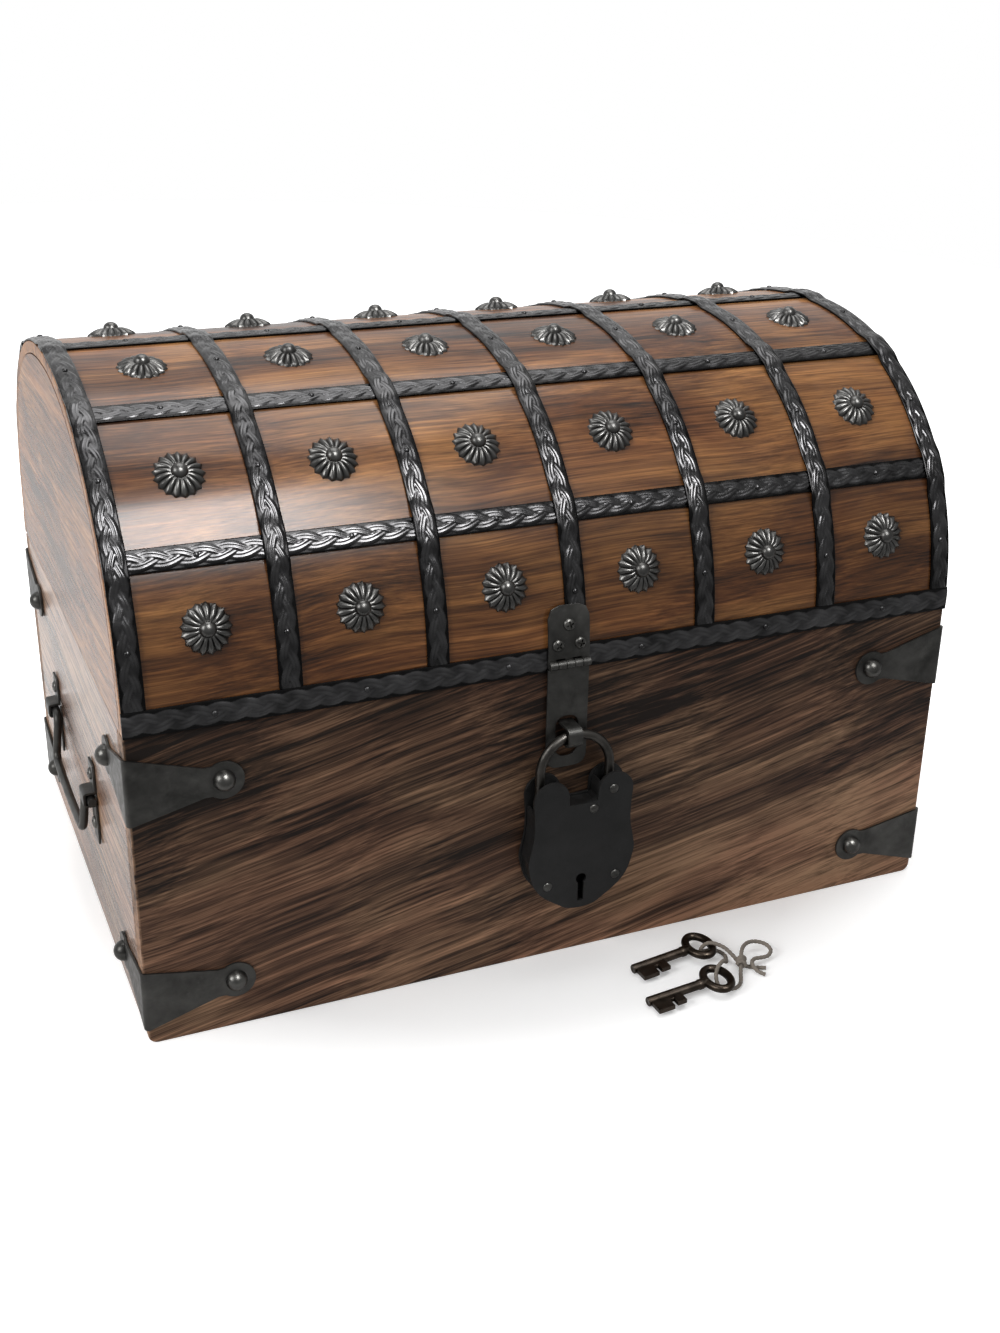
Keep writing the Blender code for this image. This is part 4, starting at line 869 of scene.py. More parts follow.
def use_group(tree, name, vector, **values):
    """Place a shared group in a material with its own values, and give its outputs."""
    group = bpy.data.node_groups.get(name) or new_group(name, *SHADER_GROUPS[name])
    return tree.add("ShaderNodeGroup", {"node_tree": group}, Vector=vector, **values).outputs


# Finishes
def made_once(build):
    """Let a finish be made only when no material has its name yet."""

    def asked(name, *values, **more):
        """Find the finish by its name, or make it."""
        return bpy.data.materials.get(name) or build(name, *values, **more)

    return asked


def new_finish(name, roughness, metallic=0.0, **constants):
    """A material with a Principled shader whose constant values stand on its own sockets."""
    made = bpy.data.materials.new(name)
    made.use_nodes = True
    shader = made.node_tree.nodes["Principled BSDF"]
    for key, value in {"Roughness": roughness, "Metallic": metallic, **constants}.items():
        shader.inputs[key.replace("_", " ")].default_value = value
    return made, Tree(made.node_tree), shader


def bump(tree, shader, height, strength, distance):
    """Feed a Bump node's Normal to the shader."""
    made = tree.add("ShaderNodeBump", None, Strength=strength, Distance=distance, Height=height)
    tree.fill(shader.inputs["Normal"], made.outputs["Normal"])


@made_once
def wood_finish(name, tones, wood, shares, gloss, figure, foot=False):
    """Scorched and varnished wood, with its grain along the turned X and shares of the grain's parts."""
    shift, turn, coat, bright = wood
    char, brown, warm = (tuple(tone) for tone in tones)
    made, tree, shader = new_finish(
        name, 0.5, Coat_Weight=coat, Coat_Roughness=0.20, Specular_IOR_Level=gloss
    )
    coords = tree.coords()
    turn = tuple(math.radians(a) for a in turn)
    mapped = tree.add("ShaderNodeMapping", None, Vector=coords, Location=shift, Rotation=turn)
    parts = use_group(tree, "wood_grain", mapped.outputs[0])
    weighed = zip(("Burn", "Lines", "Fibres"), shares)
    burn, lines, fibres = (tree.times(parts[key], share) for key, share in weighed)
    tone = tree.plus(tree.plus(burn, lines), tree.plus(fibres, bright))
    tone = tree.plus(tone, tree.span(parts["Figure"], 0.0, 1.0, -figure, figure))
    spots = tree.split(coords)
    # Front board only: tone added along it, and painted light low and painted shade high up it
    if foot:
        tone = tree.plus(tone, tree.span(spots["X"], *FRONT_ALONG))
        tone = tree.plus(tone, tree.span(spots["Z"], *FRONT_UP_LIGHT_AND_SHADE))
    mid = tuple((1 - MID_SHARE) * a + MID_SHARE * b for a, b in zip(brown, warm))
    tint = tree.ramp(tone, zip(TONE_PLACES, (char, brown, mid, warm)))
    fine = tree.span(parts["Fibres"], 0.0, 1.0, *FIBRE_TINT)
    tint = tree.mix(1.0, tint, tree.combine(fine, fine, fine), "MULTIPLY")
    red = tree.mix(tree.span(parts["Figure"], 0.2, 0.9, 0.8, 0.0), WHITE, RED_CAST)
    tint = tree.mix(1.0, tint, red, "MULTIPLY")
    pores = tree.times(parts["Pores"], PORE_TINT)
    tint = tree.mix(pores, tint, (*char, 1))
    side, edge = ("Y", HALF_DEPTH) if wood[1] == ALONG_DEPTH else ("X", HALF_WIDTH)
    worn = use_group(tree, "worn_edge", coords, Place=spots[side], Edge=edge)["Mask"]
    pale = tuple(min(1.0, 1.1 * c + 0.04) for c in warm)
    tint = tree.mix(tree.times(worn, WORN_TINT), tint, (*pale, 1))
    dust = use_group(tree, "dust_film", coords)["Dust"]
    tint = tree.mix(tree.times(dust, WOOD_DUST_SHARE), tint, WOOD_DUST)
    tree.fill(shader.inputs["Base Color"], tint)
    rough = tree.span(parts["Lines"], 0.0, 1.0, *VARNISH_ROUGHNESS)
    tree.fill(shader.inputs["Roughness"], tree.plus(rough, tree.times(pores, 0.3)))
    height = tree.plus(parts["Fibres"], tree.times(parts["Lines"], 0.5))
    bump(tree, shader, tree.math("SUBTRACT", height, parts["Pores"]), 0.18, 0.0003)
    return made


def box_wood(kind):
    """A finish for one of the box's boards."""
    look = finishes()
    tones = (look.box_char, look.box_brown, look.box_warm)
    name = f"body_wood_{kind}"
    wood = BOX_WOODS[kind]
    return wood_finish(name, tones, wood, BOX_SHARES, gloss=0.15, figure=0.06, foot=kind == "front")


def lid_wood(kind):
    """A finish for the lid's skin or one of its ends."""
    look = finishes()
    tones = (look.lid_char, look.lid_brown, look.lid_warm)
    return wood_finish(f"lid_wood_{kind}", tones, LID_WOODS[kind], LID_SHARES, gloss=0.06, figure=0.11)


@made_once
def metal_finish(name):
    """Blackened iron or bronze, with worn edges, darker hollows, smudges and fine pits."""
    key, brightening, roughness, more = METALS[name]
    return forged_finish(name, [brightening * c for c in getattr(finishes(), key)], roughness, **more)


def forged_finish(name, base, roughness, relief=False, spread=0.5, metallic=1.0):
    """A forged metal's material, whose crests and hollows follow the relief where it has one."""
    made, tree, shader = new_finish(name, roughness, metallic)
    coords = tree.coords()
    parts = use_group(tree, "forged_iron", coords)
    dark, light = ((*[c * share for c in base], 1) for share in (1 - spread, 1 + spread))
    tint = tree.mix(tree.span(parts["Tone"], 0.3, 0.7), dark, light)
    edges = tree.times(tree.span(parts["Smudges"], *SMUDGE_SPAN), SMUDGE_SHARE)
    if relief:
        crest = tree.add("ShaderNodeAttribute", {"attribute_name": "relief"}).outputs["Fac"]
        edges = tree.times(tree.span(crest, *CREST_SPAN), CREST_SHARE)
        hollow = (*[c * HOLLOW_SHARE for c in base], 1)
        tint = tree.mix(tree.span(crest, *HOLLOW_SPAN), tint, hollow)
    tint = tree.mix(edges, tint, (*[min(1.0, 2.0 * c + 0.01) for c in base], 1))
    dust = use_group(tree, "dust_film", coords)["Dust"]
    tint = tree.mix(tree.times(dust, IRON_DUST_SHARE), tint, IRON_DUST)
    tree.fill(shader.inputs["Base Color"], tint)
    smudges = tree.span(parts["Smudges"], 0.3, 0.7, roughness - 0.08, roughness + 0.10)
    tree.fill(shader.inputs["Roughness"], tree.math("SUBTRACT", smudges, tree.times(edges, 0.10)))
    height = tree.plus(parts["Pits"], tree.times(parts["Tone"], 0.8))
    bump(tree, shader, height, 0.03 if relief else 0.10, 0.0002)
    return made


@made_once
def twine_finish(name):
    """Dry plant fibre in two plies, read from the twine's own map."""
    fibre = tuple(finishes().twine_fibre)
    made, tree, shader = new_finish(name, 0.88, Sheen_Weight=0.3, Sheen_Roughness=0.5)
    hairs = tree.noise(tree.vector("MULTIPLY", tree.coords("UV"), (9.0, 700.0, 1.0)), 1.0, 4.0, 0.7, 0.4)
    cloud = tree.noise(tree.coords(), 120.0, 3.0)
    dark, pale = (tuple(min(1.0, c * share) for c in fibre) for share in (0.35, 1.7))
    tint = tree.ramp(hairs, ((0.28, dark), (0.50, fibre), (0.72, pale)))
    tint = tree.mix(tree.span(cloud, 0.4, 0.7, 0.0, 0.5), tint, (*[c * 0.6 for c in fibre], 1))
    tree.fill(shader.inputs["Base Color"], tint)
    tree.fill(shader.inputs["Roughness"], tree.span(hairs, 0.3, 0.7, 0.82, 0.95))
    bump(tree, shader, hairs, 0.7, 0.0003)
    return made


class CHEST_OT_stage(bpy.types.Operator):
    """Set the camera, the floor and the light."""

    bl_idname = "chest.stage"
    bl_label = "Stage"

    def execute(self, context):
        """Make the stage."""
        add_camera(context.scene)
        add_world(context.scene)
        add_floor(context.scene)
        for name, (place, size, power) in SOFTBOXES.items():
            light = bpy.data.lights.new(name, "AREA")
            light.shape = "RECTANGLE"
            light.size, light.size_y = size
            light.energy = getattr(context.scene.chest_stage, power)
            lamp = bpy.data.objects.new(name, light)
            lamp.location = place
            aim = Vector(SOFTBOX_AIM) - Vector(place)
            lamp.rotation_euler = aim.to_track_quat("-Z", "Y").to_euler()
            lamp.visible_diffuse = name != SHEEN_LIGHT
            context.scene.collection.objects.link(lamp)
        return {"FINISHED"}


def add_camera(scene):
    """Place the camera as the photograph's was."""
    lens = bpy.data.cameras.new("photo_camera")
    lens.sensor_width = SENSOR
    lens.lens = FOCAL_PIXELS / PHOTO_HEIGHT * SENSOR
    camera = bpy.data.objects.new("photo_camera", lens)
    camera.location = CAMERA_PLACE
    camera.rotation_euler = tuple(math.radians(a) for a in CAMERA_TURN)
    scene.collection.objects.link(camera)
    scene.camera = camera
    scene.view_settings.view_transform = "Standard"


def add_world(scene):
    """White surroundings to the eye; to everything else a pale sweep behind and a dimmer room in front."""
    world = bpy.data.worlds.new("white_surroundings")
    world.use_nodes = True
    tree = Tree(world.node_tree)
    shader = world.node_tree.nodes["Background"]
    shader.inputs["Color"].default_value = (1, 1, 1, 1)
    way = tree.split(tree.coords("Generated"))
    room = tree.span(way["Y"], -0.10, 0.80, scene.chest_stage.room, 1.0)
    path = tree.add("ShaderNodeLightPath").outputs
    soft = tree.times(room, tree.span(path["Is Diffuse Ray"], 0.0, 1.0, 1.0, scene.chest_stage.fill))
    tree.fill(shader.inputs["Strength"], tree.math("MAXIMUM", soft, path["Is Camera Ray"]))
    scene.world = world


def add_floor(scene):
    """A pale floor that keeps the soft shadow near the chest, fades to white to the eye, and is painted dark in
    front as painted shade for reflections and bounced light.
    """
    bm = bmesh.new()
    bmesh.ops.create_circle(bm, cap_ends=True, segments=FLOOR_STEPS, radius=FLOOR_RADIUS)
    bmesh.ops.translate(bm, verts=bm.verts, vec=(0, FLOOR_BACK, 0))
    floor = bpy.data.objects.new("floor", pattern("floor", bm))
    scene.collection.objects.link(floor)
    made, tree, shader = new_finish("floor_paper", 0.85)
    coords = tree.coords()
    paper = tree.span(tree.noise(coords, 60.0, 3.0), 0.3, 0.7, 0.985, 1.0)
    sheet = tree.mix(1.0, (*scene.chest_stage.floor, 1), tree.combine(paper, paper, paper), "MULTIPLY")
    seen = tree.add("ShaderNodeLightPath").outputs["Is Camera Ray"]
    # In front of this edge the floor is painted dark for reflections and bounced light only: painted shade
    # standing for the dim room in front, while the eye still sees white
    past_dark_floor_edge = tree.span(tree.split(coords)["Y"], DARK_FLOOR_EDGE, DARK_FLOOR_EDGE + DARK_FLOOR_FADE, 1.0, 0.0)
    painted_dark_floor = tree.times(past_dark_floor_edge, tree.math("SUBTRACT", 1.0, seen))
    tree.fill(shader.inputs["Base Color"], tree.mix(painted_dark_floor, sheet, (0.06, 0.06, 0.06, 1)))
    shader.inputs["Emission Color"].default_value = (1, 1, 1, 1)
    away = tree.add("ShaderNodeVectorMath", {"operation": "LENGTH"})
    tree.fill(away.inputs[0], coords)
    far = tree.span(away.outputs["Value"], 0.20, 0.36, 0.25, 1.0)
    tree.fill(shader.inputs["Emission Strength"], tree.times(seen, far))
    floor.data.materials.append(made)


class CHEST_OT_twine(bpy.types.Operator):
    """Make the twine that ties the keys."""

    bl_idname = "chest.twine"
    bl_label = "Twine"

    def execute(self, context):
        """Make the twine of two twisted plies, and the turns of its knot."""
        points, length = smooth_route(TWINE_ROUTE, TWINE_POINTS)
        section = []
        for k in range(TWINE_SIDES):
            turn = math.tau * k / TWINE_SIDES
            radius = TWINE_RADIUS * (TWINE_ROUND_SHARE + (1 - TWINE_ROUND_SHARE) * abs(math.cos(turn)))
            section.append((radius * math.cos(turn), radius * math.sin(turn)))
        for name, line, nodes in (("twine", points, ("key_twine",)), ("twine_knot", knot_path(), ())):
            bm = bmesh.new()
            add_rod(bm, line, section, pitch=sizes().twine_pitch)
            map_rod(bm, line)
            keep(name, bm, twine_finish("twine_fibre"), "keys", nodes, False)
        return {"FINISHED"}


def smooth_route(route, count):
    """Points evenly along a smooth curve through the route's points, and its length."""
    dense = np.array([*spline([route[0], *route, route[-1]], SMOOTH_STEPS), route[-1]])
    run = distances(dense)
    want = np.linspace(0, run[-1], count)
    found = [tuple(float(np.interp(w, run, dense[:, axis])) for axis in range(3)) for w in want]
    return found, float(run[-1])


def knot_path():
    """Turns of twine round both strands where they cross."""
    way = Vector(KNOT_WAY).normalized()
    up = Vector((0, 0, 1))
    side = up.cross(way)
    steps = KNOT_TURNS * SMOOTH_STEPS
    points = []
    for k in range(steps + 1):
        turn = math.tau * k / SMOOTH_STEPS
        radius = KNOT_RADIUS * (1 - KNOT_SLACK + KNOT_SLACK * math.cos(KNOT_BEAT * turn))
        along = KNOT_PITCH * KNOT_TURNS * (k / steps - 0.5)
        out = side * math.cos(turn) + up * math.sin(turn)
        points.append(Vector(KNOT_PLACE) + way * along + out * radius)
    return points


def map_rod(bm, points):
    """Give a rod a map: distance along it and turns about it."""
    layer = bm.loops.layers.uv.new("along")
    line = np.array(points)
    run = distances(line)
    for face in bm.faces:
        for loop in face.loops:
            near = int(((line - np.array(loop.vert.co)) ** 2).sum(1).argmin())
            off = loop.vert.co - Vector(points[near])
            loop[layer].uv = (run[near] * 100, 0.5 + math.atan2(off.z, off.x + off.y) / math.tau)


class CHEST_OT_box_boards(bpy.types.Operator):
    """Make the five boards of the box."""

    bl_idname = "chest.box_boards"
    bl_label = "Box boards"

    def execute(self, context):
        """Make each board over its packed one."""
        for kind in BOX_WOODS:
            low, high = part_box(f"{kind}_panel")
            place = Matrix.Translation((low + high) / 2) @ Matrix.Diagonal((*(high - low), 1))
            bm = bmesh.new()
            bmesh.ops.create_cube(bm, size=1, matrix=place)
            feet = [e for e in bm.edges if is_foot(e)]
            if feet:
                bmesh.ops.bevel(
                    bm, geom=feet, offset=CORNER_ROUND, segments=CORNER_STEPS,
                    profile=0.5, affect="EDGES", material=-1,
                )
            soften(bm, sizes().board_edge)
            keep(f"{kind}_board", bm, box_wood(kind), "box", (f"{kind}_panel",))
        return {"FINISHED"}


def is_foot(edge):
    """Whether an edge runs front to back along the chest's foot, at its outer sides."""
    ends = [v.co for v in edge.verts]
    low = all(p.z < GAP and abs(p.x) > HALF_WIDTH - GAP for p in ends)
    return low and abs(ends[0].x - ends[1].x) < GAP


class CHEST_OT_lid_boards(bpy.types.Operator):
    """Make the lid's bent skin and its two ends."""

    bl_idname = "chest.lid_boards"
    bl_label = "Lid boards"

    def execute(self, context):
        """Make the skin over the staves and rails, and the ends inside it."""
        bm = bmesh.new()
        bmesh.ops.create_grid(bm, x_segments=1, y_segments=ARCH_STEPS, size=1)
        drawn = bmesh.ops.extrude_face_region(bm, geom=bm.faces[:], use_keep_orig=True)["geom"]
        outer = set(new_verts(drawn))
        for vert in bm.verts:
            run = (vert.co.y + 1) / 2 * ARCH_LENGTH
            y, z = over_arch(run, 0 if vert in outer else -STAVE)
            vert.co = (vert.co.x * HALF_WIDTH, float(y), float(z))
        soften(bm, sizes().board_edge)
        staves = [f"lid_stave_{k + 1}" for k in range(BAYS)]
        nodes = ("lid_rail_front", "lid_rail_back", *staves)
        keep("lid_skin", bm, lid_wood("skin"), "lid", nodes)
        y, z = over_arch(np.linspace(0, ARCH_LENGTH, ARCH_STEPS + 1), -STAVE - GAP)
        outline = list(zip(y.tolist(), z.tolist()))
        for name, side in (("left", -1), ("right", 1)):
            middle = (side * (HALF_WIDTH - BOARD / 2), 0, 0)
            bm = standing_plate([outline], BOARD, middle, (0, 1, 0), sizes().board_edge)
            keep(f"lid_{name}_board", bm, lid_wood(f"end_{name}"), "lid", (f"lid_end_{name}",))
        return {"FINISHED"}


def plait(along, across, half):
    """Relief from 0 to 1 of a three-strand plait pressed in a band of the given half width."""
    look = sizes()
    room = half - PLAIT_MARGIN
    swing = room * PLAIT_SWING_SHARE
    strand = room * PLAIT_STRAND_SHARE
    relief = np.zeros_like(along)
    for k in range(PLAIT_STRANDS):
        turn = math.tau * (along / look.plait_length + k / PLAIT_STRANDS)
        slope = math.tau * swing / look.plait_length * np.cos(turn)
        off = (across - swing * np.sin(turn)) / np.sqrt(1 + slope**2) / strand
        round_top = 1 - PLAIT_ROUND_SHARE + PLAIT_ROUND_SHARE * np.sqrt(np.clip(1 - off**2, 0, 1))
        lines = 1 - look.ridge_share * (0.5 + 0.5 * np.cos(math.tau * off)) ** 2
        over = (1 - PLAIT_OVER_SHARE) - PLAIT_OVER_SHARE * np.sin(2 * turn)
        relief = np.maximum(relief, np.where(np.abs(off) < 1, over * round_top * lines, 0))
    return relief


def close_below(bm, drop):
    """Draw a sheet's border down and close its underside with one row of faces."""
    drawn = bmesh.ops.extrude_edge_only(bm, edges=[e for e in bm.edges if e.is_boundary])["geom"]
    lower = new_verts(drawn)
    low, high = (pick(v.co.x for v in lower) for pick in (min, max))
    side_low, side_high = (pick(v.co.y for v in lower) for pick in (min, max))
    middle = (side_low + side_high) / 2
    for vert in lower:
        vert.co.z = drop
        if vert.co.x < low + MERGE or vert.co.x > high - MERGE:
            vert.co.y = side_low if vert.co.y < middle else side_high
    kept = set(lower)
    ring = [g for g in drawn if isinstance(g, bmesh.types.BMEdge) and set(g.verts) <= kept]
    sides = [e for e in ring if abs(e.verts[0].co.y - e.verts[1].co.y) < MERGE and e.calc_length() > MERGE]
    bmesh.ops.bridge_loops(bm, edges=sides)
    bmesh.ops.remove_doubles(bm, verts=bm.verts, dist=MERGE / 2)


def band_sheet(length, half):
    """A braided sheet laid flat: X along it from 0, Y across it, and Z its relief from 0 to 1."""
    bm = bmesh.new()
    layer = bm.verts.layers.float.new("relief")
    bmesh.ops.create_grid(bm, x_segments=round(length / BAND_CELL), y_segments=BAND_CELLS_ACROSS, size=1)
    verts = bm.verts[:]
    flat = np.array([v.co for v in verts])
    along = (flat[:, 0] + 1) / 2 * length
    across = flat[:, 1] * half
    relief = plait(along, across, half)
    edge = smooth_step(0, BAND_EDGE, half - np.abs(across))
    for vert, s, t, r, e in zip(verts, along, across, relief, edge):
        vert.co = (s, t, max(r, BAND_FLOOR_SHARE) * e)
        vert[layer] = r
    close_below(bm, -1)
    return bm


def lay_band(bm, start, middle, lengthwise, share=1.0):
    """Carry a flat braided sheet onto the lid, with a share of the bands' full relief."""
    depth = sizes().plait_relief * share
    verts = bm.verts[:]
    flat = np.array([v.co for v in verts])
    lift = np.where(flat[:, 2] < 0, GAP, SHEET_STEP - depth / 2 + depth * np.maximum(flat[:, 2], 0))
    along = start + flat[:, 0]
    across = middle + flat[:, 1]
    x, run = (along, across) if lengthwise else (across, along)
    y, z = over_arch(run, lift if lengthwise else lift + crossing_raise(run))
    for vert, place in zip(verts, zip(x.tolist(), y.tolist(), z.tolist())):
        vert.co = place


def crossing_raise(run):
    """How far a cross band is raised where it passes over each long band."""
    raised = np.zeros_like(run)
    for k in range(1, BAYS):
        away = np.abs(run - ARCH_LENGTH * k / BAYS)
        raised = np.maximum(raised, 1 - smooth_step(HALF_BAND, HALF_BAND + BAND_RAMP, away))
    return raised * SHEET_STEP


class CHEST_OT_bands(bpy.types.Operator):
    """Make the braided bands over the lid and their tacks."""

    bl_idname = "chest.bands"
    bl_label = "Braided bands"

    def execute(self, context):
        """Make the cross, long and rim bands."""
        shape = turned(dome(TACK_RADIUS, TACK_HEIGHT, TACK_RINGS, TACK_HEIGHT), TACK_STEPS)
        layer = shape.verts.layers.float.new("relief")
        for vert in shape.verts:
            vert[layer] = TACK_CREST
        tack = pattern("tack", shape)

        def finish(bm, kind, end, metal, spots):
            """Set a tack at each spot of a band and keep it."""
            for x, run in spots:
                stamp(bm, tack, arch_place(x, run, TACK_LIFT))
            node = f"{kind}_band_{end}"
            keep(f"braided_{kind}_{end}", bm, metal_finish(metal), "lid", (node,), False)

        rows = [ARCH_LENGTH * (k + 0.5) / BAYS for k in range(BAYS)]
        for k in range(BAYS + 1):
            x = (k - BAYS / 2) * BAND_PITCH
            bm = band_sheet(ARCH_LENGTH - 2 * CROSS_START, HALF_BAND)
            lay_band(bm, CROSS_START, x, False)
            finish(bm, "cross", k + 1, "band_iron_braided", [(x, run) for run in rows])
        reach = BAYS / 2 * BAND_PITCH + HALF_BAND
        for k in range(1, BAYS):
            run = ARCH_LENGTH * k / BAYS
            bm = band_sheet(2 * reach, HALF_BAND)
            lay_band(bm, -reach, run, True)
            finish(bm, "long", k, "band_iron_braided", [(x, run) for x in BAY_MIDDLES])
        for end, run in (("front", RIM_BAND / 2), ("back", ARCH_LENGTH - RIM_BAND / 2)):
            bm = band_sheet(2 * HALF_WIDTH, RIM_BAND / 2)
            lay_band(bm, -HALF_WIDTH, run, True, RIM_RELIEF_SHARE)
            finish(bm, "rim", end, "band_iron_rim", [(x, run) for x in BAY_MIDDLES])
        return {"FINISHED"}


def rosette_shape():
    """A fluted rosette with pointed petals and a domed nail."""
    look = sizes()
    bm = turned(ROSETTE_PROFILE, look.petals * ROSETTE_STEPS_PER_PETAL)
    layer = bm.verts.layers.float.new("relief")
    for vert in bm.verts:
        radius = math.hypot(vert.co.x, vert.co.y)
        vert[layer] = ROSETTE_CREST
        if radius < ROSETTE_NAIL or vert.co.z < 0:
            continue
        half_turn = look.petals * math.atan2(vert.co.y, vert.co.x) / 2
        petal = abs(math.cos(half_turn)) ** PETAL_POWER
        share = float(smooth_step(ROSETTE_NAIL, ROSETTE_FLUTES, radius))
        vert.co.z -= look.petal_depth * share * (1 - petal) * min(1, vert.co.z / ROSETTE_RIM_HEIGHT)
        pull = 1 - PETAL_PULL * abs(math.sin(half_turn)) * (radius / ROSETTE_RADIUS) ** PETAL_PULL_POWER
        vert.co.x *= pull
        vert.co.y *= pull
        vert[layer] = GROOVE_CREST + (1 - GROOVE_CREST) * petal
    return pattern("rosette", bm)


class CHEST_OT_rosettes(bpy.types.Operator):
    """Make the rosettes in the lid's bays."""

    bl_idname = "chest.rosettes"
    bl_label = "Rosettes"

    def execute(self, context):
        """Make one piece for each row of six."""
        shape = rosette_shape()
        first = (RIM_BAND + ARCH_LENGTH / BAYS) / 2
        rows = [first, *[ARCH_LENGTH * (k + 0.5) / BAYS for k in range(1, BAYS - 1)], ARCH_LENGTH - first]
        by_row, by_bay = ROSETTE_TURNS
        for row, run in enumerate(rows):
            places = [
                arch_place(x, run, 0, (row * by_row + k * by_bay) % 1.0) for k, x in enumerate(BAY_MIDDLES)
            ]
            keep_stamps(f"rosettes_row_{row + 1}", shape, places, "band_iron_rosettes", "lid")
        return {"FINISHED"}


def strap_outline(low, high, eye):
    """A strap's flat outline: both legs from the fold, each ending in a round eye."""
    turn = math.asin(STRAP_NECK_SHARE)
    neck = STRAP_EYE_RADIUS * STRAP_NECK_SHARE
    neck_u = STRAP_REACH - STRAP_EYE_RADIUS
    ring = arc((STRAP_REACH, eye), STRAP_EYE_RADIUS, turn - math.pi, math.pi - turn, EYE_STEPS)
    leg = [(neck_u, eye - neck), *ring, (neck_u, eye + neck)]
    return [(0, low), *leg, (0, high), *[(-u, z) for u, z in leg[::-1]]]


def fold_point(u, z, lift, side, end):
    """A point of a strap folded round a corner; u is positive along the front or back."""
    across = abs(u)
    if across > HALF_FOLD:
        inward = across - HALF_FOLD + STRAP_FOLD
        out = lift
    else:
        turn = QUARTER / 2 * (1 - across / HALF_FOLD)
        inward = STRAP_FOLD - (STRAP_FOLD + lift) * math.sin(turn)
        out = (STRAP_FOLD + lift) * math.cos(turn) - STRAP_FOLD
    if u > 0:
        return (side * (HALF_WIDTH - inward), end * (HALF_DEPTH + out), z)
    return (side * (HALF_WIDTH + out), end * (HALF_DEPTH - inward), z)


class CHEST_OT_corner_straps(bpy.types.Operator):
    """Make the eight corner straps and their domed nails."""

    bl_idname = "chest.corner_straps"
    bl_label = "Corner straps"

    def execute(self, context):
        """Make each strap with its two nails."""
        head = dome(NAIL_RADIUS, NAIL_HEIGHT, NAIL_RINGS, IRON / 2)
        nail = pattern("strap_nail", turned(head, NAIL_STEPS))
        corners = [(e, s) for e in ((-1, "front"), (1, "back")) for s in ((-1, "left"), (1, "right"))]
        for (end, face_name), (side, side_name) in corners:
            for level, heights in STRAP_HEIGHTS.items():
                node = f"corner_strap_{face_name}_{side_name}_{level}"
                bm = bmesh.new()
                add_plate(bm, [strap_outline(*heights)], IRON)
                soften(bm, sizes().iron_edge)
                cut_across(bm, [HALF_FOLD * k / FOLD_CUTS for k in range(-FOLD_CUTS, FOLD_CUTS + 1)], 0)
                for vert in bm.verts:
                    vert.co = fold_point(vert.co.x, vert.co.y, GAP + vert.co.z, side, end)
                keep_plain(f"{node}_sheet", bm, "box", node)
                on_face = (side * (HALF_WIDTH - STRAP_REACH), end * (HALF_DEPTH + SHEET_STEP), heights[2])
                on_end = (side * (HALF_WIDTH + SHEET_STEP), end * (HALF_DEPTH - STRAP_REACH), heights[2])
                places = [facing(on_face, (0, end, 0), (0, 0, 1)), facing(on_end, (side, 0, 0), (0, 0, 1))]
                keep_stamps(f"{node}_nails", nail, places, "nail_iron_polished", "box")
        return {"FINISHED"}


def screw_shape(share=1.0):
    """A round-headed screw with a cross recess, at a share of the usual size."""
    bm = turned([(share * radius, z) for radius, z in SCREW_PROFILE], SCREW_STEPS)
    for axis in (0, 1):
        cut_across(bm, (-SLOT_HALF, SLOT_HALF), axis)
    cross = []
    for face in bm.faces:
        middle = face.calc_center_median()
        near, far = sorted((abs(middle.x), abs(middle.y)))
        if near < SLOT_HALF and far < SLOT_REACH * share and middle.z > 0:
            cross.append(face)
    bmesh.ops.inset_region(bm, faces=cross, thickness=SLOT_RIM, use_even_offset=True)
    for vert in {v for f in cross for v in f.verts}:
        vert.co.z -= SLOT_DEPTH
    return pattern("screw", bm)


def knuckle_spans(middle, width, count):
    """The x spans of a hinge's knuckles, end to end."""
    each = width / count
    return [(middle - width / 2 + k * each, middle - width / 2 + (k + 1) * each) for k in range(count)]


def comb_edge(spans, first_owned):
    """The toothed edge of a leaf along its knuckles, from left to right."""
    points = []
    for k, (low, high) in enumerate(spans):
        owned = k % 2 == first_owned
        reach = 0.0 if owned else KNUCKLE_RADIUS + GAP
        inset = GAP / 2 if owned else -GAP / 2
        points += [(low + (inset if k else 0), reach), (high - (inset if k < len(spans) - 1 else 0), reach)]
    return points


def leaf_end(middle, half, far, corner, steps):
    """The end of a leaf away from its pin, from right to left, with its corners rounded."""
    way = 1 if far > 0 else -1
    right = arc((middle + half - corner, far - way * corner), corner, 0, way * QUARTER, steps)
    left = arc((middle - half + corner, far - way * corner), corner, way * QUARTER, way * math.pi, steps)
    return right + left


def keep_leaf(node, loops, cuts, place, spans, first_owned, pin, body):
    """Make a leaf flat in x and distance from its pin, carry it into place and add its knuckles."""
    bm = bmesh.new()
    add_plate(bm, loops, IRON)
    soften(bm, sizes().iron_edge)
    cut_across(bm, [CUT_STEP * k for k in range(1, cuts + 1)], 1)
    for vert in bm.verts:
        vert.co = place(*vert.co)
    radius = KNUCKLE_RADIUS
    inner = radius - KNUCKLE_EDGE
    for low, high in spans[first_owned::2]:
        width = high - low - GAP
        near = [(0, 0), (inner, 0), (radius, KNUCKLE_EDGE)]
        profile = [*near, *[(r, width - z) for r, z in near[::-1]]]
        shape = pattern("knuckle", turned(profile, KNUCKLE_STEPS))
        stamp(bm, shape, facing((low + GAP / 2, *pin), (1, 0, 0), (0, 0, 1)))
    keep_plain(f"{node}_sheet", bm, body, node)


def on_box_back(x, reach, lift):
    """A leaf's place on the box's back, from x, distance down from the pin and lift in the sheet."""
    step = float(smooth_step(JOGGLE_NEAR, JOGGLE_FAR, reach))
    return (x, HALF_DEPTH + LEAF_BACK + (GAP - LEAF_BACK) * step + lift, HINGE_Z - reach)


